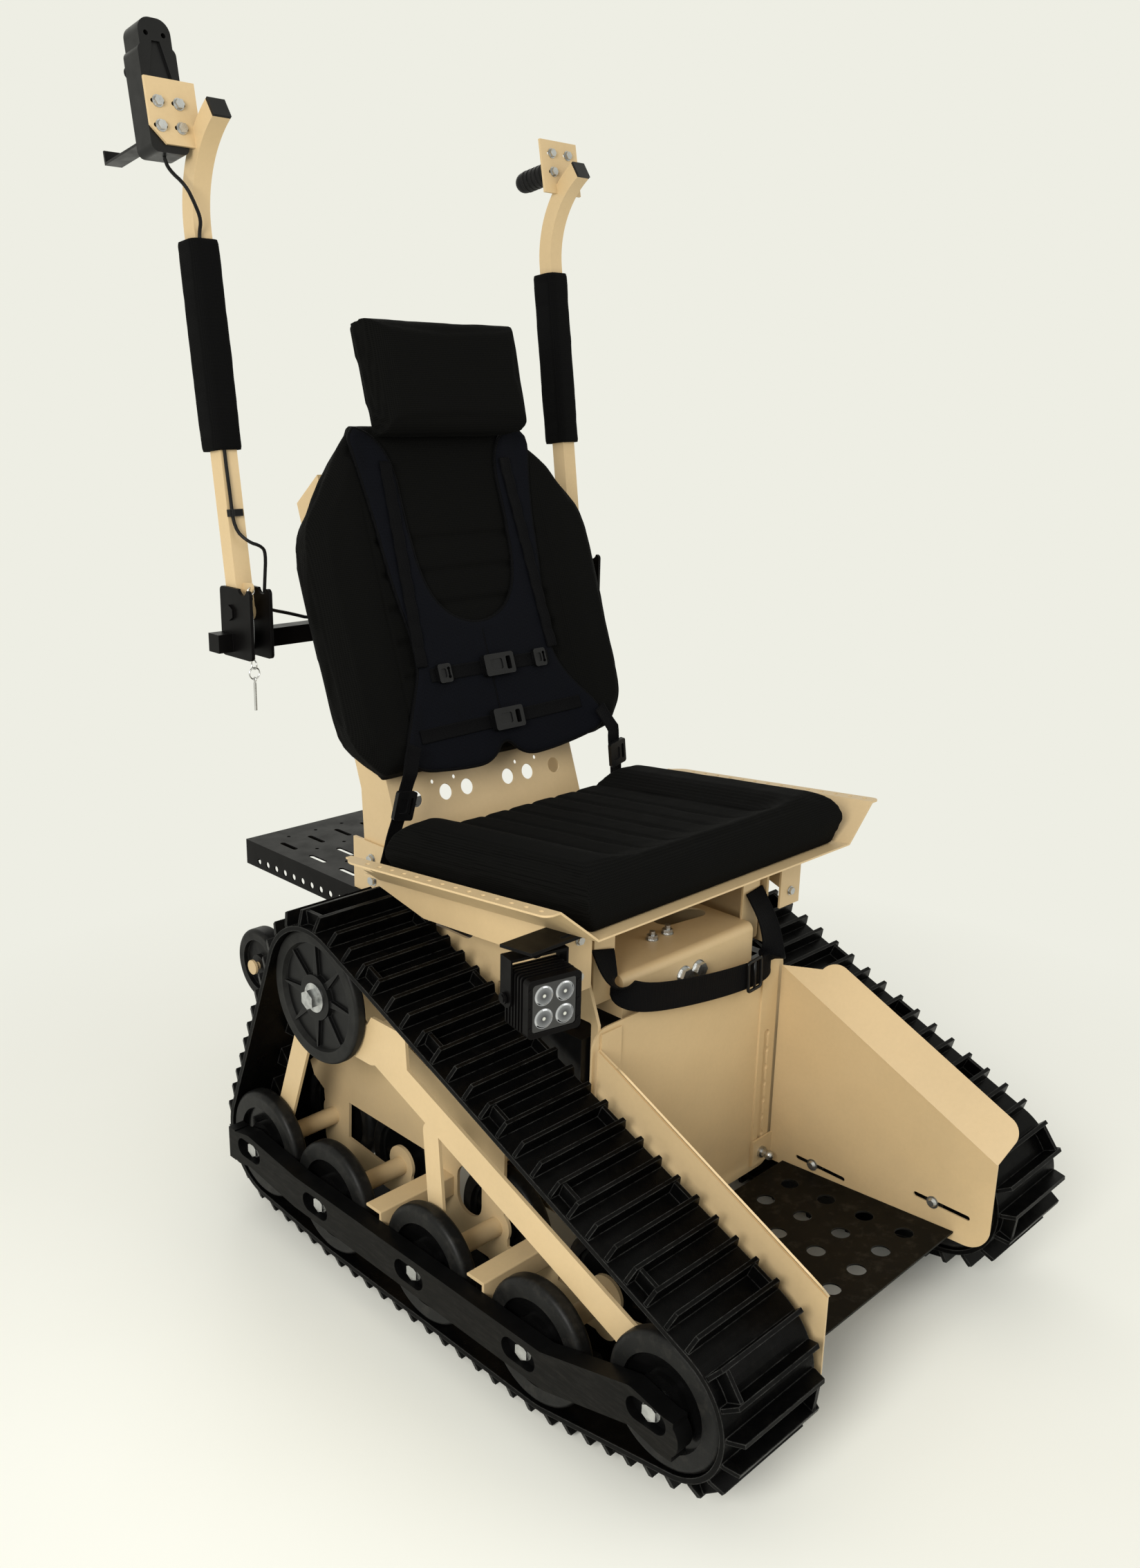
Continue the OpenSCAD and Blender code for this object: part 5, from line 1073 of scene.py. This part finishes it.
bar = tube("leg_strap_slider_bar", [(0, 0, -0.027), (0, 0, 0.027)], 0.0028, at, 10)
for o in (slider, bar):
    finish_piece(o, "chassis", MAT["black_plastic"])
    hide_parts("leg_strap")

# foam sleeves on the arms, round the tube and the cable's notch

SLEEVE_Z, SLEEVE_L, BORE = 270.0, 335.0, 16.3


def sleeve(tag, side):
    outer = round_rect(55.5, 60, 15, 6)
    nz = 60
    verts = []
    for j in range(nz + 1):
        z = SLEEVE_L * j / nz
        for u, v in outer:
            e = 1 - 0.045 * (1 - min(edge(z, 16), edge(SLEEVE_L - z, 16)))
            band = 1.3 * (groove(z - 14, 4) + groove(SLEEVE_L - z - 14, 4))
            wob = 0.9 * ripple((u, v, z), 38, 3 * side) + 0.5 * ripple((u, v, z), 15, 7.0)
            r = math.hypot(u, v)
            k = e - (band + 0.6 + max(-0.6, -wob)) / r
            verts.append((u * k, 4 + v * k, SLEEVE_Z + z))
    inner = [(BORE, BORE), (-BORE, BORE), (-BORE, -BORE), (-14, -BORE), (-14, -23), (-6, -23), (-6, -BORE),
             (BORE, -BORE)]
    if side > 0:
        inner = [(-u, v) for u, v in reversed(inner)]
    m = len(inner)
    base = len(verts)
    for z in (SLEEVE_Z, SLEEVE_Z + SLEEVE_L):
        verts += [(u, v, z) for u, v in inner]
    faces = skin_quads(nz + 1, len(outer))
    faces += [(base + i, base + m + i, base + m + (i + 1) % m, base + (i + 1) % m) for i in range(m)]
    obj = from_mesh(f"{tag}_arm_sleeve", [mm(*v) for v in verts], faces, ARM[side])
    bm = bmesh.new()
    bm.from_mesh(obj.data)
    for z in (SLEEVE_Z / 1000, (SLEEVE_Z + SLEEVE_L) / 1000):
        ends = [e for e in bm.edges if e.is_boundary and all(abs(v.co.z - z) < 0.002 for v in e.verts)]
        bmesh.ops.bridge_loops(bm, edges=ends)
    bmesh.ops.recalc_face_normals(bm, faces=bm.faces)
    bm.to_mesh(obj.data)
    bm.free()
    shade_smooth(obj.data)
    finish_piece(obj, f"{tag}_arm", MAT["pad_foam"])
    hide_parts(f"{tag}_arm_pad")


sleeve("right", -1)
sleeve("left", 1)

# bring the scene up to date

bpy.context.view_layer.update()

# stage: an even pale backdrop that the camera and mirrors see, and a softer sky that lights the part

BACKDROP = (*lin(238, 238, 228), 1)
world = bpy.data.worlds.new("studio")
scene.world = world
world.use_nodes = True
wt = world.node_tree
wt.nodes.clear()


def background(color, strength):
    n = wt.nodes.new("ShaderNodeBackground")
    n.inputs["Color"].default_value = color
    n.inputs["Strength"].default_value = strength
    return n.outputs[0]


def either(a, b):
    n = wt.nodes.new("ShaderNodeMath")
    n.operation = "MAXIMUM"
    wt.links.new(a, n.inputs[0])
    wt.links.new(b, n.inputs[1])
    return n.outputs[0]


ray = wt.nodes.new("ShaderNodeLightPath").outputs
pick_ray = wt.nodes.new("ShaderNodeMixShader")
for i, out in enumerate((
        either(either(ray["Is Camera Ray"], ray["Is Glossy Ray"]), ray["Is Transmission Ray"]),
        background((1.0, 0.995, 0.965, 1), 0.66), background(BACKDROP, 1.0))):
    wt.links.new(out, pick_ray.inputs[i])
wt.links.new(pick_ray.outputs[0], wt.nodes.new("ShaderNodeOutputWorld").inputs[0])

fm = Paint("studio_floor", lin(243, 243, 234), 0.9, 0.0, Specular_IOR_Level=0.1)
fm.color(fm.tones(lin(241, 241, 231), lin(245, 245, 236), 1.2, 3.0))
# the floor fades into the backdrop's own tone away from the object
far = fm.add("ShaderNodeEmission")
far.inputs["Color"].default_value = BACKDROP
span = fm.add("ShaderNodeVectorMath", operation="LENGTH")
fm.join(fm.at, span.inputs[0])
fade = fm.add("ShaderNodeMixShader")
FADE_FROM, FADE_TO = 0.6, 1.9
fm.join(fm.spread(span.outputs["Value"], FADE_FROM, FADE_TO), fade.inputs[0])
fm.join(fm.b.outputs[0], fade.inputs[1])
fm.join(far.outputs[0], fade.inputs[2])
fm.join(fade.outputs[0], fm.t.nodes["Material Output"].inputs[0])
FLOOR_HALF, FLOOR_Z = 20, -0.0005
corners = [(i * FLOOR_HALF, j * FLOOR_HALF, FLOOR_Z) for i, j in ((-1, -1), (1, -1), (1, 1), (-1, 1))]
floor = from_mesh("studio_floor", corners, [(0, 1, 2, 3)], None, True)
floor.data.materials.append(fm.mat)


def area(name, at, to, size, power, color):
    d = bpy.data.lights.new(name, "AREA")
    d.shape, d.size, d.energy, d.color = "DISK", size, power, color
    o = bpy.data.objects.new(name, d)
    scene.collection.objects.link(o)
    o.location = at
    o.rotation_euler = (Vector(to) - Vector(at)).to_track_quat("-Z", "Y").to_euler()


area("key", (-3.2, -1.5, 2.2), (0, 0, 0.7), 1.5, 100, (1.0, 0.99, 0.965))
area("fill", (1.4, -3.4, 2.4), (0, 0, 0.7), 2.4, 20, (1.0, 0.99, 0.97))
area("rear", (1.6, 2.8, 3.2), (0, 0, 0.9), 2.0, 14, (1.0, 0.99, 0.97))
